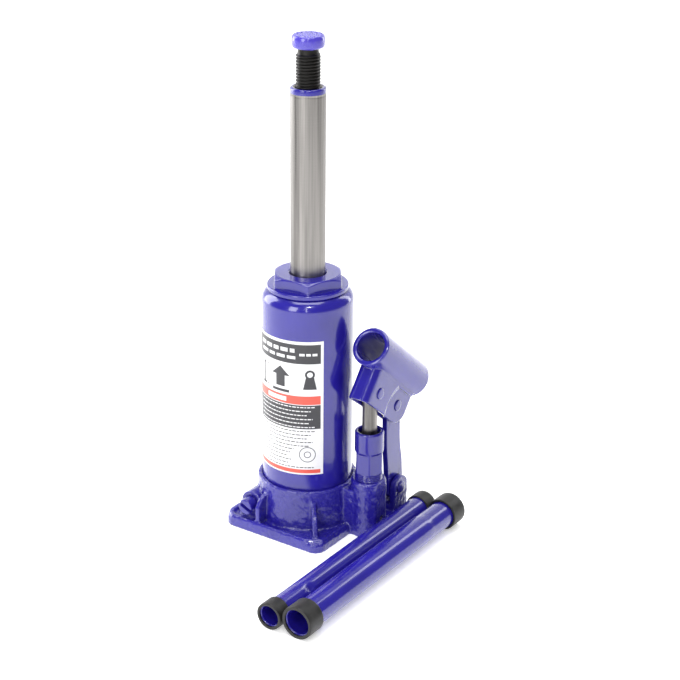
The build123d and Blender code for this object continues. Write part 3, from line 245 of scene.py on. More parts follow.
def foot_extras(bm):
    """Rounded lips along the plate's free edges, and a rim round the top of the skirt."""
    low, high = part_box("base_casting")
    left, front, back = low.x / MM, low.y / MM, high.y / MM
    lip = FOOT_TOP - 0.2
    cut_from, cut_to, cut_back = 28, 37, front + 8.5
    bar(bm, (left + 7, front + 2.2, lip), (cut_from, front + 2.2, lip), 2.1)
    bar(bm, (left + 2.4, front + 7, lip + 0.8), (left + 2.4, back - 9, lip + 0.8), 2.2)
    bar(bm, (left + 2.6, front + 6.5, lip), (left + 7, front + 2.3, lip), 2.1)
    bar(bm, (cut_from, front + 2.2, lip), (cut_to, cut_back, lip), 2.0)
    bar(bm, (cut_to, cut_back, lip), (cut_to + 0.2, -9, lip), 2.0)
    turns = 72
    rim = [Vector((SKIRT_LIP_R * math.cos(a), SKIRT_LIP_R * math.sin(a), SKIRT_LIP_Z))
           for a in (2 * math.pi * k / turns for k in range(turns + 1))]
    for one, two in zip(rim, rim[1:]):
        bar(bm, one, two, SKIRT_LIP_T, parts=8)


foot = dipped("foot_casting", "base_casting", foot_extras, CAST_VOXEL, 5, CAST_LUMP, CAST_LUMP_SIZE,
              cast_enamel)
fit(foot, "base", "blue_paint", "base_casting")

# ------------------------------------------------------------- oil tank
# Drawn steel tube with its top rolled in to a shoulder, clamped between the foot
# and the top nut. Smooth blue enamel, sprayed, with faint orange peel.
TANK_R = 30.6
TANK_WALL = 1.8
SHOULDER_R = 8.5
SHOULDER_ARC = 70
SHOULDER_STEPS = 18

smooth_enamel = new_material("smooth_enamel", Specular_IOR_Level=0.5, Coat_Weight=0.7, Coat_Roughness=0.05)
use_group(smooth_enamel, enamel, ENAMEL_LINKS, Lump_Scale=90.0, Lump_Height=0.00012, Peel_Height=0.000012,
          Gloss_Wear=0.10)

AXES = {
    "X": (Vector((0, 1, 0)), Vector((0, 0, 1)), Vector((1, 0, 0))),
    "Y": (Vector((0, 0, 1)), Vector((1, 0, 0)), Vector((0, 1, 0))),
    "Z": (Vector((1, 0, 0)), Vector((0, 1, 0)), Vector((0, 0, 1))),
}


def eased(outline, radius, parts=4, loop=True):
    """The outline with each corner rounded off by up to radius."""
    rounded = []
    count = len(outline)
    for k, point in enumerate(outline):
        if not loop and k in (0, count - 1):
            rounded.append(tuple(point))
            continue
        here = Vector(point)
        before, after = Vector(outline[k - 1]) - here, Vector(outline[(k + 1) % count]) - here
        first = here + before.normalized() * min(radius, 0.45 * before.length)
        last = here + after.normalized() * min(radius, 0.45 * after.length)
        for step in range(parts + 1):
            t = step / parts
            spot = first * (1 - t) ** 2 + here * 2 * t * (1 - t) + last * t**2
            rounded.append((spot.x, spot.y))
    return rounded


def turned(name, outline, centre, *materials, along="Z", steps=160, loop=True):
    """A turned piece. Its outline is (radius, distance along the axis) in mm, and either may be
    a function of the angle. A looped outline is a hollow piece's whole section."""
    side, up, axis = AXES[along]
    points, faces = [], []
    for radius, distance in outline:
        for k in range(steps):
            angle = 2 * math.pi * k / steps
            r = radius(angle) if callable(radius) else radius
            h = distance(angle) if callable(distance) else distance
            spoke = side * math.cos(angle) + up * math.sin(angle)
            points.append((Vector(centre) + axis * h + spoke * r) * MM)
    rows = len(outline)
    for row in range(rows if loop else rows - 1):
        below, above = row * steps, (row + 1) % rows * steps
        for k in range(steps):
            after = (k + 1) % steps
            faces.append((below + k, below + after, above + after, above + k))
    mesh = bpy.data.meshes.new(name)
    mesh.from_pydata(points, [], faces)
    bm = bmesh.new()
    bm.from_mesh(mesh)
    bmesh.ops.remove_doubles(bm, verts=bm.verts, dist=1e-7)
    bmesh.ops.dissolve_degenerate(bm, edges=bm.edges, dist=1e-8)
    bmesh.ops.recalc_face_normals(bm, faces=bm.faces)
    bm.to_mesh(mesh)
    bm.free()
    piece = show(name, mesh, *materials)
    piece.modifiers.new("even_shading", "WEIGHTED_NORMAL")
    return piece


tank_low, tank_high = (corner.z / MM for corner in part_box("reservoir_tube"))
shoulder_z = tank_high - SHOULDER_R * math.sin(math.radians(SHOULDER_ARC))
outer, inner = [], []
for step in range(SHOULDER_STEPS + 1):
    angle = math.radians(SHOULDER_ARC * step / SHOULDER_STEPS)
    for side_points, arc_r in ((outer, SHOULDER_R), (inner, SHOULDER_R - TANK_WALL)):
        side_points.append((TANK_R - SHOULDER_R + arc_r * math.cos(angle), shoulder_z + arc_r * math.sin(angle)))
tank = turned("oil_tank", [(TANK_R - TANK_WALL, tank_low), (TANK_R, tank_low)] + outer + inner[::-1],
              (0, 0, 0), smooth_enamel, steps=256)
fit(tank, "base", "blue_paint", "reservoir_tube")

# ----------------------------------------------------------- tank label
# Laminated paper label wrapped round the tank's front, printed in black and red.
# Its bands, bars and signs are plain blocks, with no lettering.
LABEL_R = TANK_R + 0.12
LABEL_LEFT = -145.0
LABEL_RIGHT = -35.0
INK_PROUD = 0.03
COLUMN_DEG = 1.5
TEXT_LEFT = -128.0
TEXT_RIGHT = -46.0
RAGGED = 10.0
MARK_SHARE = (0.79, 0.93)
MARK_ROOM = 26.0
WORD_LEAST = 2.2
WORD_SPREAD = 3.1
WORD_GAP = 1.2
label_low, label_high = (corner.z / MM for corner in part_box("tank_label"))
LABEL_TALL = label_high - label_low


def printed(name, base, roughness):
    """Printed paper: a slight mottle in its ink, under a clear laminate."""
    material = new_material(name, Coat_Weight=0.35, Coat_Roughness=0.2)
    tree = material.node_tree
    place = tree.nodes.new("ShaderNodeTexCoord").outputs["Object"]
    mottle = add_node(tree, "ShaderNodeTexNoise", Vector=place, Scale=420.0, Detail=4.0)
    worn_ink = tuple(0.86 * c + 0.02 for c in base[:3]) + (1,)
    tree.links.new(blended(tree, mottle.outputs[0], base, worn_ink),
                   tree.nodes["Principled BSDF"].inputs["Base Color"])
    gloss = add_node(tree, "ShaderNodeMapRange", i0=mottle.outputs[0], i1=0.3, i2=0.7, i3=roughness,
                     i4=roughness + 0.12)
    tree.links.new(gloss.outputs[0], tree.nodes["Principled BSDF"].inputs["Roughness"])
    return material


def patch(bm, spans, radius, ink):
    """Adds a curved patch to the label: rows of (height, from angle, to angle), heights in mm
    and angles in degrees, cut into columns that follow the tank."""
    columns = max(2, math.ceil(max(abs(right - left) for _, left, right in spans) / COLUMN_DEG))
    grid = []
    for height, left, right in spans:
        row = []
        for k in range(columns + 1):
            angle = math.radians(left + (right - left) * k / columns)
            row.append(bm.verts.new(Vector((radius * math.cos(angle), radius * math.sin(angle), height)) * MM))
        grid.append(row)
    for lower, upper in zip(grid, grid[1:]):
        for k in range(columns):
            bm.faces.new((lower[k], lower[k + 1], upper[k + 1], upper[k])).material_index = ink


def down(share):
    """Height on the label at a share of the way down from its top edge."""
    return label_high - share * LABEL_TALL


PAPER, BLACK_INK, RED_INK = range(3)
bm = bmesh.new()
patch(bm, [(height, LABEL_LEFT, LABEL_RIGHT) for height in (label_low, label_high)], LABEL_R + INK_PROUD, PAPER)
INK_R = LABEL_R + 2 * INK_PROUD
INK_LEFT, INK_RIGHT = LABEL_LEFT + 4.0, LABEL_RIGHT - 3.6


def band(top, bottom, ink, left=INK_LEFT, right=INK_RIGHT, lift=0.0):
    """Adds a straight printed band between two shares of the way down."""
    patch(bm, [(down(bottom), left, right), (down(top), left, right)], INK_R + lift, ink)


band(0.022, 0.163, BLACK_INK)
band(0.402, 0.466, RED_INK)
band(0.471, 0.650, BLACK_INK)
band(0.960, 0.989, RED_INK)
# heading: two rows of plain bars, and a small block at the right
for top, bottom, bars in (
    (0.054, 0.082, ((-128, -117), (-114, -104), (-101, -93), (-90, -80), (-77, -71))),
    (0.108, 0.130, ((-126, -112), (-109, -99), (-96, -84), (-81, -70))),
    (0.086, 0.104, ((-65, -58.5), (-56.5, -51), (-49, -43))),
):
    for left, right in bars:
        band(top, bottom, PAPER, left, right, INK_PROUD)
band(0.418, 0.450, PAPER, -112, -82, INK_PROUD)
# text panel and small print: rows of short bars
for rows, first, last, ink, lift, tall in (
    (6, 0.486, 0.636, PAPER, INK_PROUD, 0.0070),
    (11, 0.668, 0.945, BLACK_INK, 0.0, 0.0070),
):
    for row in range(rows):
        at = first + (last - first) * row / (rows - 1)
        left = TEXT_LEFT
        word = 0
        reach = TEXT_RIGHT - RAGGED * ((row * 7) % 5) / 4
        if ink == BLACK_INK and MARK_SHARE[0] < at < MARK_SHARE[1]:
            reach -= MARK_ROOM
        while left < reach:
            width = WORD_LEAST + WORD_SPREAD * ((row * 5 + word * 3) % 7) / 6
            band(at - tall / 2, at + tall / 2, ink, left, min(left + width, reach), lift)
            left += width + WORD_GAP
            word += 1


def disc(middle_angle, middle_share, radius, hole):
    """Adds a ring printed in black, its two radii in mm."""
    degrees_per_mm = math.degrees(1 / LABEL_R)
    centre_z = down(middle_share)
    steps = 40
    rings = []
    for reach in (hole, radius):
        ring = []
        for k in range(steps + 1):
            turn = math.radians(360 * k / steps)
            angle = math.radians(middle_angle + reach * math.cos(turn) * degrees_per_mm)
            ring.append(bm.verts.new(Vector((
                INK_R * math.cos(angle), INK_R * math.sin(angle), centre_z + reach * math.sin(turn))) * MM))
        rings.append(ring)
    for k in range(steps):
        bm.faces.new((rings[0][k], rings[0][k + 1], rings[1][k + 1], rings[1][k])).material_index = BLACK_INK


# lifting sign: an arrow on a bar; a weight with its ring; a jack's outline; a round mark
HEAD_FOOT, HEAD_TALL, HEAD_HALF, HEAD_ROWS = 0.262, 0.067, 13.4, 8
patch(bm, [(down(0.345), -97, -84), (down(HEAD_FOOT), -97, -84)], INK_R, BLACK_INK)
patch(bm, [(down(HEAD_FOOT - HEAD_TALL * k / HEAD_ROWS), -104 + HEAD_HALF * k / HEAD_ROWS,
            -77 - HEAD_HALF * k / HEAD_ROWS) for k in range(HEAD_ROWS + 1)], INK_R, BLACK_INK)
patch(bm, [(down(0.385), -103, -78), (down(0.365), -103, -78)], INK_R, BLACK_INK)
patch(bm, [(down(0.352), -60.5, -43.5), (down(0.262), -57, -47)], INK_R, BLACK_INK)
disc(-52, 0.242, 3.3, hole=1.9)
for left, right, top, bottom in (
    (-122, -119, 0.22, 0.37), (-125, -116, 0.355, 0.372), (-123, -118, 0.205, 0.22), (-114, -110, 0.21, 0.216),
    (-114, -110, 0.36, 0.366),
):
    band(top, bottom, BLACK_INK, left, right)
for radius in (5.6, 2.4):
    disc(-55, 0.845, radius, hole=radius - 0.5)
bmesh.ops.remove_doubles(bm, verts=bm.verts, dist=1e-9)
for face in bm.faces:
    middle = face.calc_center_median()
    if face.normal.dot(Vector((middle.x, middle.y, 0))) < 0:
        face.normal_flip()
mesh = bpy.data.meshes.new("tank_label_print")
bm.to_mesh(mesh)
bm.free()
label = show(
    "printed_label", mesh, printed("label_paper", (0.86, 0.86, 0.87, 1), 0.35),
    printed("label_black", (0.018, 0.018, 0.024, 1), 0.38), printed("label_red", (0.78, 0.085, 0.05, 1), 0.38))
fit(label, "base", "label", "tank_label")

# ---------------------------------------------------------------- top nut
# Turned from hexagon bar: a thin flange that seats on the tank's shoulder and a
# hexagon above it, with corners turned off at 30 degrees. Painted with the tank.
NUT_AF = 43.6
NUT_CORNER_AT = -54.5
NUT_FLANGE_R = 26.95
NUT_FLANGE_T = 2.95
NUT_HEX_H = 7.8
NUT_SKIRT_R = 24.1
NUT_THREAD_R = 16.52
NUT_BORE_R = 11.56
NUT_FILLET = 0.9
CONE_ROWS = 27


def hexagon(across_flats, corner_at, sharpness=70):
    """Radius of a hexagon with slightly rounded corners, as a function of the angle."""
    faces = [math.radians(corner_at + 30 + 60 * k) for k in range(6)]
    return lambda angle: across_flats / 2 / sum(
        max(0.0, math.cos(angle - face)) ** sharpness for face in faces) ** (1 / sharpness)


def lesser(one, two, sharpness=90):
    """The smaller of two radii, blended smoothly where they cross."""
    return (one**-sharpness + two**-sharpness) ** (-1 / sharpness)


nut_hex = hexagon(NUT_AF, NUT_CORNER_AT)
nut_low, nut_top = (corner.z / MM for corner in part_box("top_nut"))
nut_face = nut_top - NUT_HEX_H
nut_seat = nut_face - NUT_FLANGE_T
outline = eased([(NUT_THREAD_R, nut_low), (NUT_SKIRT_R, nut_low), (NUT_SKIRT_R, nut_seat),
                 (NUT_FLANGE_R, nut_seat), (NUT_FLANGE_R, nut_face), (23.6, nut_face + 0.1)], 0.8, loop=False)
outline += [(lambda a, lift=lift: nut_hex(a) + NUT_FILLET * (1 - lift) ** 2, nut_face + NUT_FILLET * lift)
            for lift in (0.0, 0.25, 0.5, 0.75, 1.0)]
for step in range(1, CONE_ROWS + 1):
    z = nut_face + NUT_FILLET + (NUT_HEX_H - 1.2) * step / CONE_ROWS
    cone = NUT_AF / 2 - 0.3 + (nut_top - z) / math.tan(math.radians(30))
    outline.append((lambda a, cone=cone: lesser(nut_hex(a), cone), z))
outline += [(21.2, nut_top - 0.08), (20.8, nut_top)]
outline += eased([(20.6, nut_top), (12.9, nut_top), (NUT_BORE_R, nut_top - 1.4), (NUT_BORE_R, nut_top - 11.7)],
                 0.4, loop=False)
outline += [(NUT_THREAD_R, nut_top - 11.73)]
nut = turned("tank_top_nut", outline, (0, 0, 0), smooth_enamel, steps=360)
fit(nut, "base", "blue_paint", "top_nut")

# ------------------------------------------------------------------- ram
# Seamless steel tube, centreless ground, so that fine marks run round it and
# straighter draw marks along it. A blue ring is brushed on at its top end.
RAM_R = 11.5
RAM_BORE_R = 9.2
RAM_THREAD_R = 7.96
RAM_THREAD_DEEP = 25
RING_DOWN = 5.4
PAINTED_DOWN = 3.6
ground, ground_in, ground_out = new_group(
    "Ground Steel",
    [("Colour", "NodeSocketColor", (0.33, 0.315, 0.30, 1)),
     ("Dull Colour", "NodeSocketColor", (0.11, 0.105, 0.10, 1)),
     ("Ring Scale", "NodeSocketFloat", 5200.0), ("Streak Scale", "NodeSocketFloat", 700.0)],
    [("Colour", "NodeSocketColor"), ("Roughness", "NodeSocketFloat"), ("Normal", "NodeSocketVector")],
)
where = ground.nodes.new("ShaderNodeTexCoord").outputs["Object"]
split = add_node(ground, "ShaderNodeSeparateXYZ", Vector=where)
fine = add_node(ground, "ShaderNodeMath", {"operation": "MULTIPLY"}, i0=split.outputs[2],
                i1=ground_in.outputs["Ring Scale"])
rings = add_node(ground, "ShaderNodeTexNoise", {"noise_dimensions": "1D"}, W=fine.outputs[0], Scale=1.0,
                 Detail=3.0)
drawn = add_node(ground, "ShaderNodeVectorMath", {"operation": "MULTIPLY"}, i0=where, i1=(1.0, 1.0, 0.018))
streaks = add_node(ground, "ShaderNodeTexNoise", Vector=drawn.outputs[0], Scale=ground_in.outputs["Streak Scale"],
                   Detail=4.0)
smears = add_node(ground, "ShaderNodeTexNoise", Vector=drawn.outputs[0], Scale=130.0, Detail=3.0)
mixed = add_node(ground, "ShaderNodeMath", {"operation": "MULTIPLY_ADD"}, i0=streaks.outputs[0], i1=0.55,
                 i2=smears.outputs[0])
uneven = add_node(ground, "ShaderNodeMath", {"operation": "MULTIPLY_ADD"}, i0=rings.outputs[0], i1=0.25,
                  i2=mixed.outputs[0])
shade = add_node(ground, "ShaderNodeMapRange", i0=uneven.outputs[0], i1=0.70, i2=1.10, i3=1.0, i4=0.0)
tone = blended(ground, shade.outputs[0], ground_in.outputs["Colour"], ground_in.outputs["Dull Colour"])
rub = add_node(ground, "ShaderNodeMapRange", i0=uneven.outputs[0], i1=0.6, i2=1.2, i3=0.24, i4=0.44)
score = add_node(ground, "ShaderNodeBump", Strength=1.0, Distance=0.000006, Height=rings.outputs[0])
ground.links.new(tone, ground_out.inputs["Colour"])
ground.links.new(rub.outputs[0], ground_out.inputs["Roughness"])
ground.links.new(score.outputs[0], ground_out.inputs["Normal"])

ground_steel = new_material("ground_steel", Metallic=0.92)
use_group(ground_steel, ground, ENAMEL_LINKS)


def refinish(piece, choose):
    """Gives each face of a piece the material slot that choose says for its radius from the ram's
    axis and its height, in mm."""
    for face in piece.data.polygons:
        middle = face.center / MM
        face.material_index = choose(math.hypot(middle.x, middle.y), middle.z)


ram_low, ram_top = (corner.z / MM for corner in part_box("ram"))
ring_z = ram_top - RING_DOWN
tube = [(RAM_BORE_R, ram_low), (RAM_R, ram_low), (RAM_R, ring_z), (RAM_R - 0.2, ring_z + 0.1),
        (RAM_R - 0.2, ring_z + 0.4), (RAM_R, ring_z + 0.5), (RAM_R, ram_top - PAINTED_DOWN),
        (RAM_R + 0.02, ram_top - PAINTED_DOWN + 0.1), (RAM_R, ram_top - 1.0), (RAM_R - 0.25, ram_top - 0.35),
        (10.6, ram_top), (9.7, ram_top), (8.6, ram_top - 0.7), (RAM_THREAD_R, ram_top - 1.6),
        (RAM_THREAD_R, ram_top - RAM_THREAD_DEEP), (RAM_BORE_R, ram_top - RAM_THREAD_DEEP)]
ram = turned("ground_ram", tube, (0, 0, 0), ground_steel, smooth_enamel, steps=256)
refinish(ram, lambda r, z: 1 if z > ram_top - PAINTED_DOWN and r > 9.9 else 0)
fit(ram, "ram", "ground_steel", "ram")

# --------------------------------------------------------- extension screw
# Rolled two-millimetre thread, chemically blackened, with a forged saddle whose
# top is scored with crossed grooves. Only the saddle is painted.
SCREW_R = 7.9
THREAD_DEEP = 1.1
PITCH = 2.0
SCREW_DOWN = 60.3
SCREW_NECK_H = 3.0
SADDLE_R = 10.6
SADDLE_H = 8.5
SADDLE_FACE_R = 9.3
SADDLE_ROWS = 57
ROWS_A_TURN = 12
GROOVE_PITCH = 3.0
GROOVE_W = 0.52
GROOVE_DEEP = 0.75
blackened = new_material("black_oxide", Metallic=0.55, Specular_IOR_Level=0.45)
tree = blackened.node_tree
where = tree.nodes.new("ShaderNodeTexCoord").outputs["Object"]
stain = add_node(tree, "ShaderNodeTexNoise", Vector=where, Scale=240.0, Detail=5.0)
tree.links.new(blended(tree, stain.outputs[0], (0.006, 0.006, 0.006, 1), (0.020, 0.018, 0.016, 1)),
               tree.nodes["Principled BSDF"].inputs["Base Color"])
oily = add_node(tree, "ShaderNodeMapRange", i0=stain.outputs[0], i1=0.3, i2=0.7, i3=0.28, i4=0.48)
tree.links.new(oily.outputs[0], tree.nodes["Principled BSDF"].inputs["Roughness"])

screw_low, screw_top = (corner.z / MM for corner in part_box("extension_screw"))
screw_foot = ram_top - SCREW_DOWN
saddle_z = screw_top - SADDLE_H
thread_top = saddle_z - SCREW_NECK_H


def thread_radius(angle, z):
    """Radius of the rolled thread at an angle and a height, run out at its ends."""
    turn = ((z - screw_foot) / PITCH - angle / (2 * math.pi)) % 1.0
    ridge = min(1.0, max(0.0, 1.45 - 3.6 * abs(turn - 0.5)))
    ridge = ridge * ridge * (3 - 2 * ridge)
    fade = min(1.0, (z - screw_foot) / 1.5, (thread_top - z) / 1.5)
    return SCREW_R - THREAD_DEEP * (1 - ridge * max(0.0, fade))


def groove_drop(x, y):
    """Depth of the saddle's crossed grooves at a point, in mm."""
    across = (x + y) / math.sqrt(2), (x - y) / math.sqrt(2)
    half = GROOVE_PITCH / 2
    cuts = [math.exp(-((((d + half) % GROOVE_PITCH - half) / GROOVE_W) ** 2)) for d in across]
    return GROOVE_DEEP * max(cuts)


outline = eased([(0.0, screw_low), (5.0, screw_low), (5.0, screw_foot - 3.32), (4.2, screw_foot - 3.32),
                 (4.2, screw_foot - 2.08), (5.0, screw_foot - 2.08), (5.0, screw_foot), (6.8, screw_foot)], 0.3,
                loop=False)
rows = int((thread_top - 0.3 - screw_foot) / (PITCH / ROWS_A_TURN))
for row in range(rows):
    z = screw_foot + (row + 0.5) * PITCH / ROWS_A_TURN
    outline.append((lambda a, z=z: thread_radius(a, z), z))
outline += eased([(6.7, thread_top), (6.6, saddle_z), (9.2, saddle_z), (10.35, saddle_z + 0.9),
                  (SADDLE_R, saddle_z + 3.2), (SADDLE_R, screw_top - 2.6), (10.2, screw_top - 0.9),
                  (SADDLE_FACE_R, screw_top - 0.35)], 1.1, loop=False)
for row in range(SADDLE_ROWS + 1):
    r = (SADDLE_FACE_R - 0.15) * (1 - row / SADDLE_ROWS)
    crown = screw_top - 0.3 + 0.3 * (1 - (r / SADDLE_FACE_R) ** 2)
    edge = min(1.0, (SADDLE_FACE_R - r) / 0.6)
    outline.append((r, lambda a, r=r, crown=crown, edge=edge:
                    crown - edge * groove_drop(r * math.cos(a), r * math.sin(a))))
saddle_enamel = new_material("saddle_enamel", Coat_Weight=0.6, Coat_Roughness=0.1)
# the saddle's darker second blue goes into random thick patches and, as painted shade, into its concave corners
use_group(saddle_enamel, enamel, ENAMEL_LINKS, Colour=(0.075, 0.055, 0.50, 1),
          Pooled_Colour=(0.022, 0.013, 0.26, 1), Lump_Scale=420.0, Lump_Height=0.00022, Peel_Height=0.00002,
          Gloss_Wear=0.2)
screw = turned("extension_screw_thread", outline, (0, 0, 0), blackened, saddle_enamel, steps=128, loop=False)
refinish(screw, lambda r, z: 1 if z > saddle_z - 0.05 and (r > 7.2 or z > saddle_z + 0.2) else 0)
fit(screw, "extension_screw", "black_oxide", "extension_screw")

# -------------------------------------------------------------------- pump
# Steel pump cylinder screwed into the foot's boss by its spanner flats, three
# turns of thread left showing, painted over. The ground plunger works in it.
pump_low, pump_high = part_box("pump_cylinder")
pump_at = ((pump_low.x + pump_high.x) / 2 / MM, (pump_low.y + pump_high.y) / 2 / MM, 0)
pump_foot, pump_top = pump_low.z / MM, pump_high.z / MM
PUMP_R = 9.8
PUMP_AF = 17.4
PUMP_BORE_R = 5.05
PUMP_ROOT_R = 8.75
PUMP_CREST_R = 9.35
PUMP_THREAD_Z = 40.2
PUMP_PITCH = 1.3
PUMP_HEX_Z = 45.6
PUMP_COLLAR_Z = 60.6
PACKING_R = 7.4
PACKING_DEEP = 9
COLLAR_GROWTH = 4.0
PUMP_ROWS = 35
pump_flats = hexagon(PUMP_AF, NUT_CORNER_AT, 45)
outline = [(PUMP_BORE_R, pump_foot), (8.4, pump_foot), (PUMP_ROOT_R, pump_foot + 0.6)]
for turn in range(4):
    z = PUMP_THREAD_Z + PUMP_PITCH * turn
    outline += eased([(PUMP_ROOT_R, z), (PUMP_CREST_R, z + 0.4), (PUMP_CREST_R, z + 0.8), (PUMP_ROOT_R, z + 1.2)],
                     0.15, loop=False)
for step in range(PUMP_ROWS + 1):
    z = PUMP_HEX_Z + (pump_top - 1.2 - PUMP_HEX_Z) * step / PUMP_ROWS
    open_flat = min(1.0, max(0.0, (z - PUMP_COLLAR_Z) / 2.6))
    easing = open_flat * open_flat * (3 - 2 * open_flat) * COLLAR_GROWTH
    outline.append((lambda a, easing=easing: lesser(pump_flats(a) + easing, PUMP_R, 80), z))
outline += eased([(PUMP_R, pump_top - 1.1), (9.5, pump_top - 0.3), (8.9, pump_top), (7.9, pump_top),
                  (PACKING_R, pump_top - 0.6), (PACKING_R, pump_top - PACKING_DEEP),
                  (PUMP_BORE_R, pump_top - PACKING_DEEP)], 0.5, loop=False)
pump = turned("pump_barrel", outline, pump_at, smooth_enamel, steps=192)
fit(pump, "base", "blue_paint", "pump_cylinder")

# ----------------------------------------------------------- pins and link
# Headed steel pins held by clips on the far side, painted over in place. The link
# is stamped plate with a shallow dogleg, wider at its slack lower eye.
CLIP_NEAR = 1.38
CLIP_FAR = 2.22
for pin_name, cad_node, body in (
    ("pump_pin", "piston_pin", "handle_socket"),
    ("link_pin", "fulcrum_pin", "handle_socket"),
    ("clevis_pin", "lug_pin", "base"),
):
    low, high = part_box(cad_node)
    middle = (0, (low.y + high.y) / 2 / MM, (low.z + high.z) / 2 / MM)
    head_r = (high.z - low.z) / 2 / MM
    tail, face = low.x / MM, high.x / MM
    stem = head_r - 0.9
    outline = eased([(0.0, tail), (stem - 0.4, tail), (stem, tail + 0.4), (stem, tail + CLIP_NEAR),
                     (stem - 0.5, tail + CLIP_NEAR), (stem - 0.5, tail + CLIP_FAR), (stem, tail + CLIP_FAR),
                     (stem, face - 1.0), (head_r, face - 1.0), (head_r, face - 0.55),
                     (head_r - 0.5, face - 0.15), (0.55 * head_r, face), (0.0, face)], 0.35, loop=False)
    pin = turned(pin_name, outline, middle, smooth_enamel, along="X", steps=96, loop=False)
    fit(pin, body, "blue_paint", cad_node)

LINK_T = 4.0
UPPER_EYE_R = 3.05
LOWER_EYE_R = 4.35
EYE_STEPS = 48
link_low, link_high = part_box("link_plate")
link_pin_low, link_pin_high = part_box("fulcrum_pin")
clevis_low, clevis_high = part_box("lug_pin")
upper_eye = Vector(((link_pin_low.y + link_pin_high.y) / 2, (link_pin_low.z + link_pin_high.z) / 2)) / MM
lower_eye = Vector(((clevis_low.y + clevis_high.y) / 2, (clevis_low.z + clevis_high.z) / 2)) / MM
spine = [(upper_eye, 8.4), (Vector((upper_eye.x + 0.4, 66.0)), 8.4), (Vector((upper_eye.x + 0.8, 54.0)), 8.4),
         (Vector((lower_eye.x - 1.4, 40.0)), 9.0), (lower_eye, 9.2)]


def half_turn(middle, radius, start):
    """Points round half of an eye, from one side to the other."""
    return [middle + Vector((math.cos(start + math.pi * k / 18), math.sin(start + math.pi * k / 18))) * radius
            for k in range(19)]


rear_side = [point + Vector((width, 0)) for point, width in spine[1:-1]]
front_side = [point - Vector((width, 0)) for point, width in spine[1:-1]]
edge = half_turn(upper_eye, spine[0][1], 0.0) + eased([tuple(p) for p in front_side], 6.0, 6, loop=False)
edge += half_turn(lower_eye, spine[-1][1], math.pi)
edge += eased([tuple(p) for p in rear_side[::-1]], 6.0, 6, loop=False)
bm = bmesh.new()
round_eye = [Vector((math.cos(a), math.sin(a))) for a in (2 * math.pi * k / EYE_STEPS for k in range(EYE_STEPS))]
loops = [edge] + [[middle + spoke * r for spoke in round_eye]
                  for middle, r in ((upper_eye, UPPER_EYE_R), (lower_eye, LOWER_EYE_R))]
link_x = (link_low.x + link_high.x) / 2
rims = []
for points in loops:
    ring = [bm.verts.new((link_x - LINK_T / 2 * MM, p[0] * MM, p[1] * MM)) for p in points]
    rims += [bm.edges.new((ring[k], ring[(k + 1) % len(ring)])) for k in range(len(ring))]
bmesh.ops.triangle_fill(bm, use_beauty=True, use_dissolve=False, edges=rims)
grown = bmesh.ops.extrude_face_region(bm, geom=list(bm.faces))["geom"]
far_side = [g for g in grown if isinstance(g, bmesh.types.BMVert)]
bmesh.ops.translate(bm, verts=far_side, vec=(LINK_T * MM, 0, 0))
bmesh.ops.recalc_face_normals(bm, faces=bm.faces)
mesh = bpy.data.meshes.new("link")
bm.to_mesh(mesh)
bm.free()
link = show("stamped_link", mesh, smooth_enamel)
bevel = link.modifiers.new("rounded_edges", "BEVEL")
bevel.width, bevel.segments = 0.55 * MM, 4
bevel.limit_method, bevel.angle_limit = "ANGLE", math.radians(50)
link.modifiers.new("even_shading", "WEIGHTED_NORMAL")
fit(link, "link", "blue_paint", "link_plate")

# ------------------------------------------------------------ handle socket
# A tube rolled round the handle, and two cheeks of 2.6 mm sheet that run down
# from it, joined by a bent web in front and nipped in at the link.
SHEET_VOXEL = 0.42
TILT = math.radians(38.4)
SOCKET_BORE = 9.9
SOCKET_OUT = 13.1
SOCKET_RISE = 24.7
MOUTH_AHEAD = 19.0
SEAM_SIDE = 6.6
SEAM_RISE = 13.0
pump_pin_low, pump_pin_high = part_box("piston_pin")
pump_pin = (pump_pin_low + pump_pin_high) / 2 / MM
pump_pin.x = pump_at[0]
mouthward = Vector((0, -math.cos(TILT), math.sin(TILT)))
upward = Vector((0, math.sin(TILT), math.cos(TILT)))


def socket_at(x, ahead, up):
    """Point across, ahead of and above the pump pin, square to the socket's tube."""
    return Vector((pump_pin.x + x, pump_pin.y, pump_pin.z)) + mouthward * ahead + upward * up


def socket_extras(bm):
    """A rolled lip round the tube's mouth, and the seam where the web runs into the tube."""
    turns = 60
    middle = (SOCKET_BORE + SOCKET_OUT) / 2
    for k in range(turns):
        ends = []
        for step in (0, 1):
            angle = 2 * math.pi * (k + step) / turns
            ends.append(socket_at(middle * math.cos(angle), MOUTH_AHEAD, SOCKET_RISE + middle * math.sin(angle)))
        bar(bm, ends[0], ends[1], 1.55, parts=8)
    for side in (-1, 1):
        seam = [socket_at(side * SEAM_SIDE, ahead, SEAM_RISE) for ahead in (-42, 9)]
        bar(bm, seam[0], seam[1], 1.5, parts=10)


socket = dipped("rolled_handle_socket", "handle_socket", socket_extras, SHEET_VOXEL, 5, 0.05, 9.0, smooth_enamel)
fit(socket, "handle_socket", "blue_paint", "handle_socket")

# ------------------------------------------------------------ release valve
# Turned steel screw that lets the oil back, slotted across its end for the
# handle's notch and brushed over with paint.
valve_low, valve_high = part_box("release_valve")
valve_at = ((valve_low.x + valve_high.x) / 2 / MM, 0, (valve_low.z + valve_high.z) / 2 / MM)
VALVE_FACE_R = 4.7
VALVE_R = 5.5
VALVE_THREAD_R = 5.0
SLOT_DEEP = 3.6
valve_end, valve_tip = valve_low.y / MM, valve_high.y / MM
SLOT_TURN = math.radians(25)


def slot_depth(angle, r):
    """How far the slot cuts into the valve's end at a point of it."""
    away = abs(r * math.cos(angle - SLOT_TURN))
    return SLOT_DEEP * min(1.0, max(0.0, (1.5 - away) / 0.7))


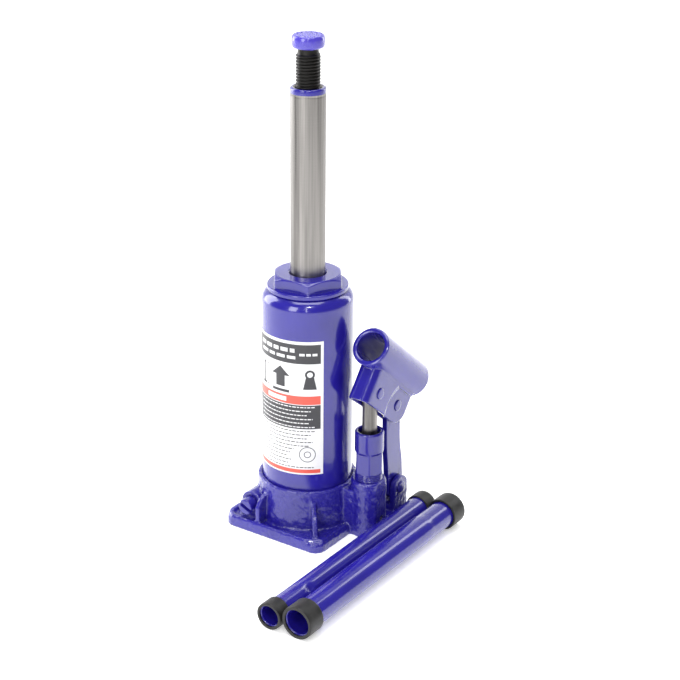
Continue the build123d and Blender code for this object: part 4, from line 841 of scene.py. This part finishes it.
outline = [(r, lambda a, r=r: valve_end + 0.15 * (r / VALVE_FACE_R) ** 2 + slot_depth(a, r))
           for r in (VALVE_FACE_R * k / 30 for k in range(31))]
outline += [(r, lambda a, r=r, back=back: valve_end + back + slot_depth(a, r))
            for r, back in ((5.2, 0.35), (5.45, 0.8))]
outline += eased([(VALVE_R, valve_end + 4.2), (VALVE_R, -35.6), (VALVE_THREAD_R, -35.6), (VALVE_THREAD_R, -26.9),
                  (3.4, -26.9), (3.4, -25.1), (VALVE_THREAD_R, -25.1), (VALVE_THREAD_R, valve_tip - 5),
                  (2.6, valve_tip - 4), (2.0, valve_tip), (0.0, valve_tip)], 0.25, loop=False)
valve = turned("release_screw", outline, valve_at, smooth_enamel, along="Y", steps=128, loop=False)
fit(valve, "release_valve", "blue_paint", "release_valve")

# ------------------------------------------------------------ handle tubes
# The handle's two steel tubes, painted inside and out. The larger is swaged
# down at its rear, and the smaller has a pressed dimple that keeps the two together.
TUBE_WALL = 1.2
TUBE_ROWS = 120
SWAGE_LENGTH = 36.0
DIMPLE_IN = 34.0
DIMPLE_SPREAD = 2.6
DIMPLE_TURN = 0.9
for name, cad_node, body, swage, dimple in (
    ("large_handle_tube_skin", "large_handle_tube", "large_handle", 0.35, 0.0),
    ("small_handle_tube_skin", "small_handle_tube", "small_handle", 0.0, 1.1),
):
    low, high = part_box(cad_node)
    radius = (high.x - low.x) / 2 / MM
    middle = ((low.x + high.x) / 2 / MM, 0, (low.z + high.z) / 2 / MM)
    front, back = low.y / MM, high.y / MM
    outside, inside = [], []
    for step in range(TUBE_ROWS + 1):
        y = front + (back - front) * step / TUBE_ROWS
        narrow = swage / (1 + math.exp(-(y - (back - SWAGE_LENGTH)) / 0.8))
        along_dimple = dimple * math.exp(-((y - front - DIMPLE_IN) / DIMPLE_SPREAD) ** 2)
        wall = (lambda a, narrow=narrow, radius=radius, pressed=along_dimple: radius - narrow - pressed
                * math.exp(-(radius * math.sin((a - DIMPLE_TURN) / 2) * 2 / DIMPLE_SPREAD) ** 2))
        outside.append((wall, y))
        inside.append((radius - TUBE_WALL - narrow, y))
    tube = turned(name, outside + inside[::-1], middle, smooth_enamel, along="Y", steps=120)
    fit(tube, body, "blue_paint", cad_node)

# --------------------------------------------------------- handle end rings
# Moulded black plastic sleeves pushed over the tubes' ends, with a lip turned
# in over the cut edge and a slight taper from the mould.
plastic = new_material("black_plastic", Specular_IOR_Level=0.4)
tree = plastic.node_tree
where = tree.nodes.new("ShaderNodeTexCoord").outputs["Object"]
mould = add_node(tree, "ShaderNodeTexNoise", Vector=where, Scale=1500.0, Detail=3.0)
dust = add_node(tree, "ShaderNodeTexNoise", Vector=where, Scale=150.0, Detail=5.0)
dusty = add_node(tree, "ShaderNodeMapRange", i0=dust.outputs[0], i1=0.4, i2=0.8, i3=0.0, i4=0.6)
tree.links.new(blended(tree, dusty.outputs[0], (0.010, 0.010, 0.011, 1), (0.032, 0.031, 0.028, 1)),
               tree.nodes["Principled BSDF"].inputs["Base Color"])
satin = add_node(tree, "ShaderNodeMapRange", i0=dust.outputs[0], i1=0.3, i2=0.7, i3=0.36, i4=0.52)
tree.links.new(satin.outputs[0], tree.nodes["Principled BSDF"].inputs["Roughness"])
pebbled = add_node(tree, "ShaderNodeBump", Strength=1.0, Distance=0.00003, Height=mould.outputs[0])
tree.links.new(pebbled.outputs[0], tree.nodes["Principled BSDF"].inputs["Normal"])

RING_LIP = 0.8
RING_FLOOR = 1.48
RING_TAPER = 0.12
for cad_node, tube_node, body, long in (
    ("large_tube_rings", "large_handle_tube", "large_handle", 13.5),
    ("small_tube_rings", "small_handle_tube", "small_handle", 10.5),
):
    low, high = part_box(cad_node)
    tube_low, tube_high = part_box(tube_node)
    ring_r, tube_r = (high.x - low.x) / 2 / MM, (tube_high.x - tube_low.x) / 2 / MM + 0.02
    middle = ((low.x + high.x) / 2 / MM, 0, (low.z + high.z) / 2 / MM)
    for end_name, face, turn in (("front", low.y / MM, 1), ("rear", high.y / MM, -1)):
        section = [(tube_r - RING_LIP, 0.0), (ring_r - RING_TAPER, 0.0), (ring_r, 2.0), (ring_r, long),
                   (tube_r, long), (tube_r, RING_FLOOR), (tube_r - RING_LIP, RING_FLOOR)]
        outline = [(r, face + turn * y) for r, y in eased(section, 0.55)]
        ring = turned(f"{cad_node}_{end_name}", outline, middle, plastic, along="Y", steps=120)
        fit(ring, body, "ring_plastic", cad_node)

# ------------------------------------------------------------- inner pieces
# What works inside: ground cylinder, piston head, plunger, seals, balls, spring,
# strainer and clips. They keep their CAD shape and take their real finish.
def plain_finish(name, base, second, scale, roughness, **inputs):
    """A finish that wanders between two colours, with its roughness."""
    material = new_material(name, **inputs)
    tree = material.node_tree
    where = tree.nodes.new("ShaderNodeTexCoord").outputs["Object"]
    patchy = add_node(tree, "ShaderNodeTexNoise", Vector=where, Scale=scale, Detail=4.0)
    tree.links.new(blended(tree, patchy.outputs[0], base, second),
                   tree.nodes["Principled BSDF"].inputs["Base Color"])
    rough = add_node(tree, "ShaderNodeMapRange", i0=patchy.outputs[0], i1=0.3, i2=0.7, i3=roughness,
                     i4=roughness + 0.15)
    tree.links.new(rough.outputs[0], tree.nodes["Principled BSDF"].inputs["Roughness"])
    return material


finishes = {
    "blue_paint": smooth_enamel,
    "ground_steel": ground_steel,
    "black_oxide": blackened,
    "ring_plastic": plastic,
    "label": None,
    "cast_iron_head": plain_finish("head_iron", (0.10, 0.10, 0.10, 1), (0.17, 0.165, 0.16, 1), 300.0, 0.45,
                                   Metallic=0.8),
    "copper": plain_finish("copper_gasket", (0.60, 0.22, 0.10, 1), (0.42, 0.14, 0.07, 1), 200.0, 0.3, Metallic=1.0),
    "seal_rubber": plain_finish("seal_rubber", (0.012, 0.012, 0.012, 1), (0.022, 0.021, 0.020, 1), 500.0, 0.5),
    "nylon": plain_finish("nylon", (0.62, 0.58, 0.48, 1), (0.54, 0.50, 0.41, 1), 220.0, 0.4),
    "gauze": plain_finish("gauze_brass", (0.48, 0.36, 0.14, 1), (0.34, 0.25, 0.10, 1), 400.0, 0.3, Metallic=1.0),
}
for part in frame["record"]["subparts"]:
    node = frame["nodes"][part["node"]]
    finish = finishes[part["material_slot"]]
    if finish and not node.hide_render:
        node.data.materials.clear()
        node.data.materials.append(finish)

# ------------------------------------------------------------------ studio
# Pale floor that sweeps up behind and glows a little, soft boxes behind and in
# front on the left, a strip behind on the right, one overhead, two narrow ones
# in front for the long highlights, and a dim white sky.
FLOOR_HALF = 3.0
FLOOR_BACK = 1.0
SWEEP_R = 1.2
floor_low = cad_box[0][2]
mesh = bpy.data.meshes.new("studio_floor")
bm = bmesh.new()
away = Vector((-0.58, 0.8146, 0.0))
side = Vector((away.y, -away.x, 0.0))
sweep = [(-3.0, 0.0), (FLOOR_BACK, 0.0)]
sweep += [(FLOOR_BACK + SWEEP_R * math.sin(a), SWEEP_R - SWEEP_R * math.cos(a))
          for a in map(math.radians, range(6, 91, 6))]
sweep += [(FLOOR_BACK + SWEEP_R, 4.0)]
grid = [[bm.verts.new(away * y + side * x + Vector((0, 0, z + floor_low)))
         for x in (-FLOOR_HALF, FLOOR_HALF)] for y, z in sweep]
for lower, upper in zip(grid, grid[1:]):
    bm.faces.new((lower[0], lower[1], upper[1], upper[0]))
bm.to_mesh(mesh)
bm.free()
floor = show("studio_floor", mesh, new_material(
    "studio_floor", Base_Color=(0.90, 0.90, 0.90, 1), Roughness=0.9, Emission_Color=(1, 1, 1, 1),
    Emission_Strength=0.42))


def soft_light(name, spot, target, size, power, tall=None):
    """A rectangular soft light at a spot, turned to its target, in metres and watts."""
    light = bpy.data.lights.new(name, "AREA")
    light.shape, light.size, light.size_y, light.energy = "RECTANGLE", size, tall or size, power
    lamp = bpy.data.objects.new(name, light)
    bpy.context.scene.collection.objects.link(lamp)
    lamp.location = spot
    lamp.rotation_euler = (Vector(target) - Vector(spot)).to_track_quat("-Z", "Y").to_euler()
    return lamp


def seen_from_camera(right, ahead, up):
    """A spot given to the right of, beyond and above the object as the camera sees it, in metres."""
    return side * right + away * ahead + Vector((0, 0, up))


middle = (0.0, 0.0, 0.14)
soft_light("left_rear_softbox", seen_from_camera(-1.35, 0.75, 0.7), middle, 0.9, 24, 1.5)
soft_light("right_rear_strip", seen_from_camera(1.35, 0.95, 0.7), middle, 0.35, 7, 1.5)
soft_light("front_left_softbox", seen_from_camera(-0.95, -1.25, 0.75), middle, 0.55, 13, 1.1)
soft_light("front_strip", seen_from_camera(-0.12, -1.9, 0.9), middle, 0.12, 4, 1.3)
soft_light("top_softbox", seen_from_camera(0.0, 0.1, 1.9), middle, 1.4, 30)
soft_light("front_window", seen_from_camera(0.1, -1.3, 1.6), middle, 0.25, 7, 0.16)
world = bpy.data.worlds.new("studio_sky")
world.use_nodes = True
world.node_tree.nodes["Background"].inputs["Color"].default_value = (1.0, 1.0, 1.0, 1)
world.node_tree.nodes["Background"].inputs["Strength"].default_value = 0.16
bpy.context.scene.world = world

camera_data = bpy.data.cameras.new("camera")
camera_data.lens, camera_data.sensor_width = 90.4, 36.0
camera_data.shift_x, camera_data.shift_y = 0.057, 0.010
camera = bpy.data.objects.new("camera", camera_data)
bpy.context.scene.collection.objects.link(camera)
camera.location = (0.6053, -0.8576, 0.5680)
PITCH_DOWN = math.radians(22.83)
look = Vector((away.x * math.cos(PITCH_DOWN), away.y * math.cos(PITCH_DOWN), -math.sin(PITCH_DOWN)))
camera.rotation_euler = look.to_track_quat("-Z", "Y").to_euler()
bpy.context.scene.camera = camera
bpy.context.scene.view_settings.view_transform = "Standard"
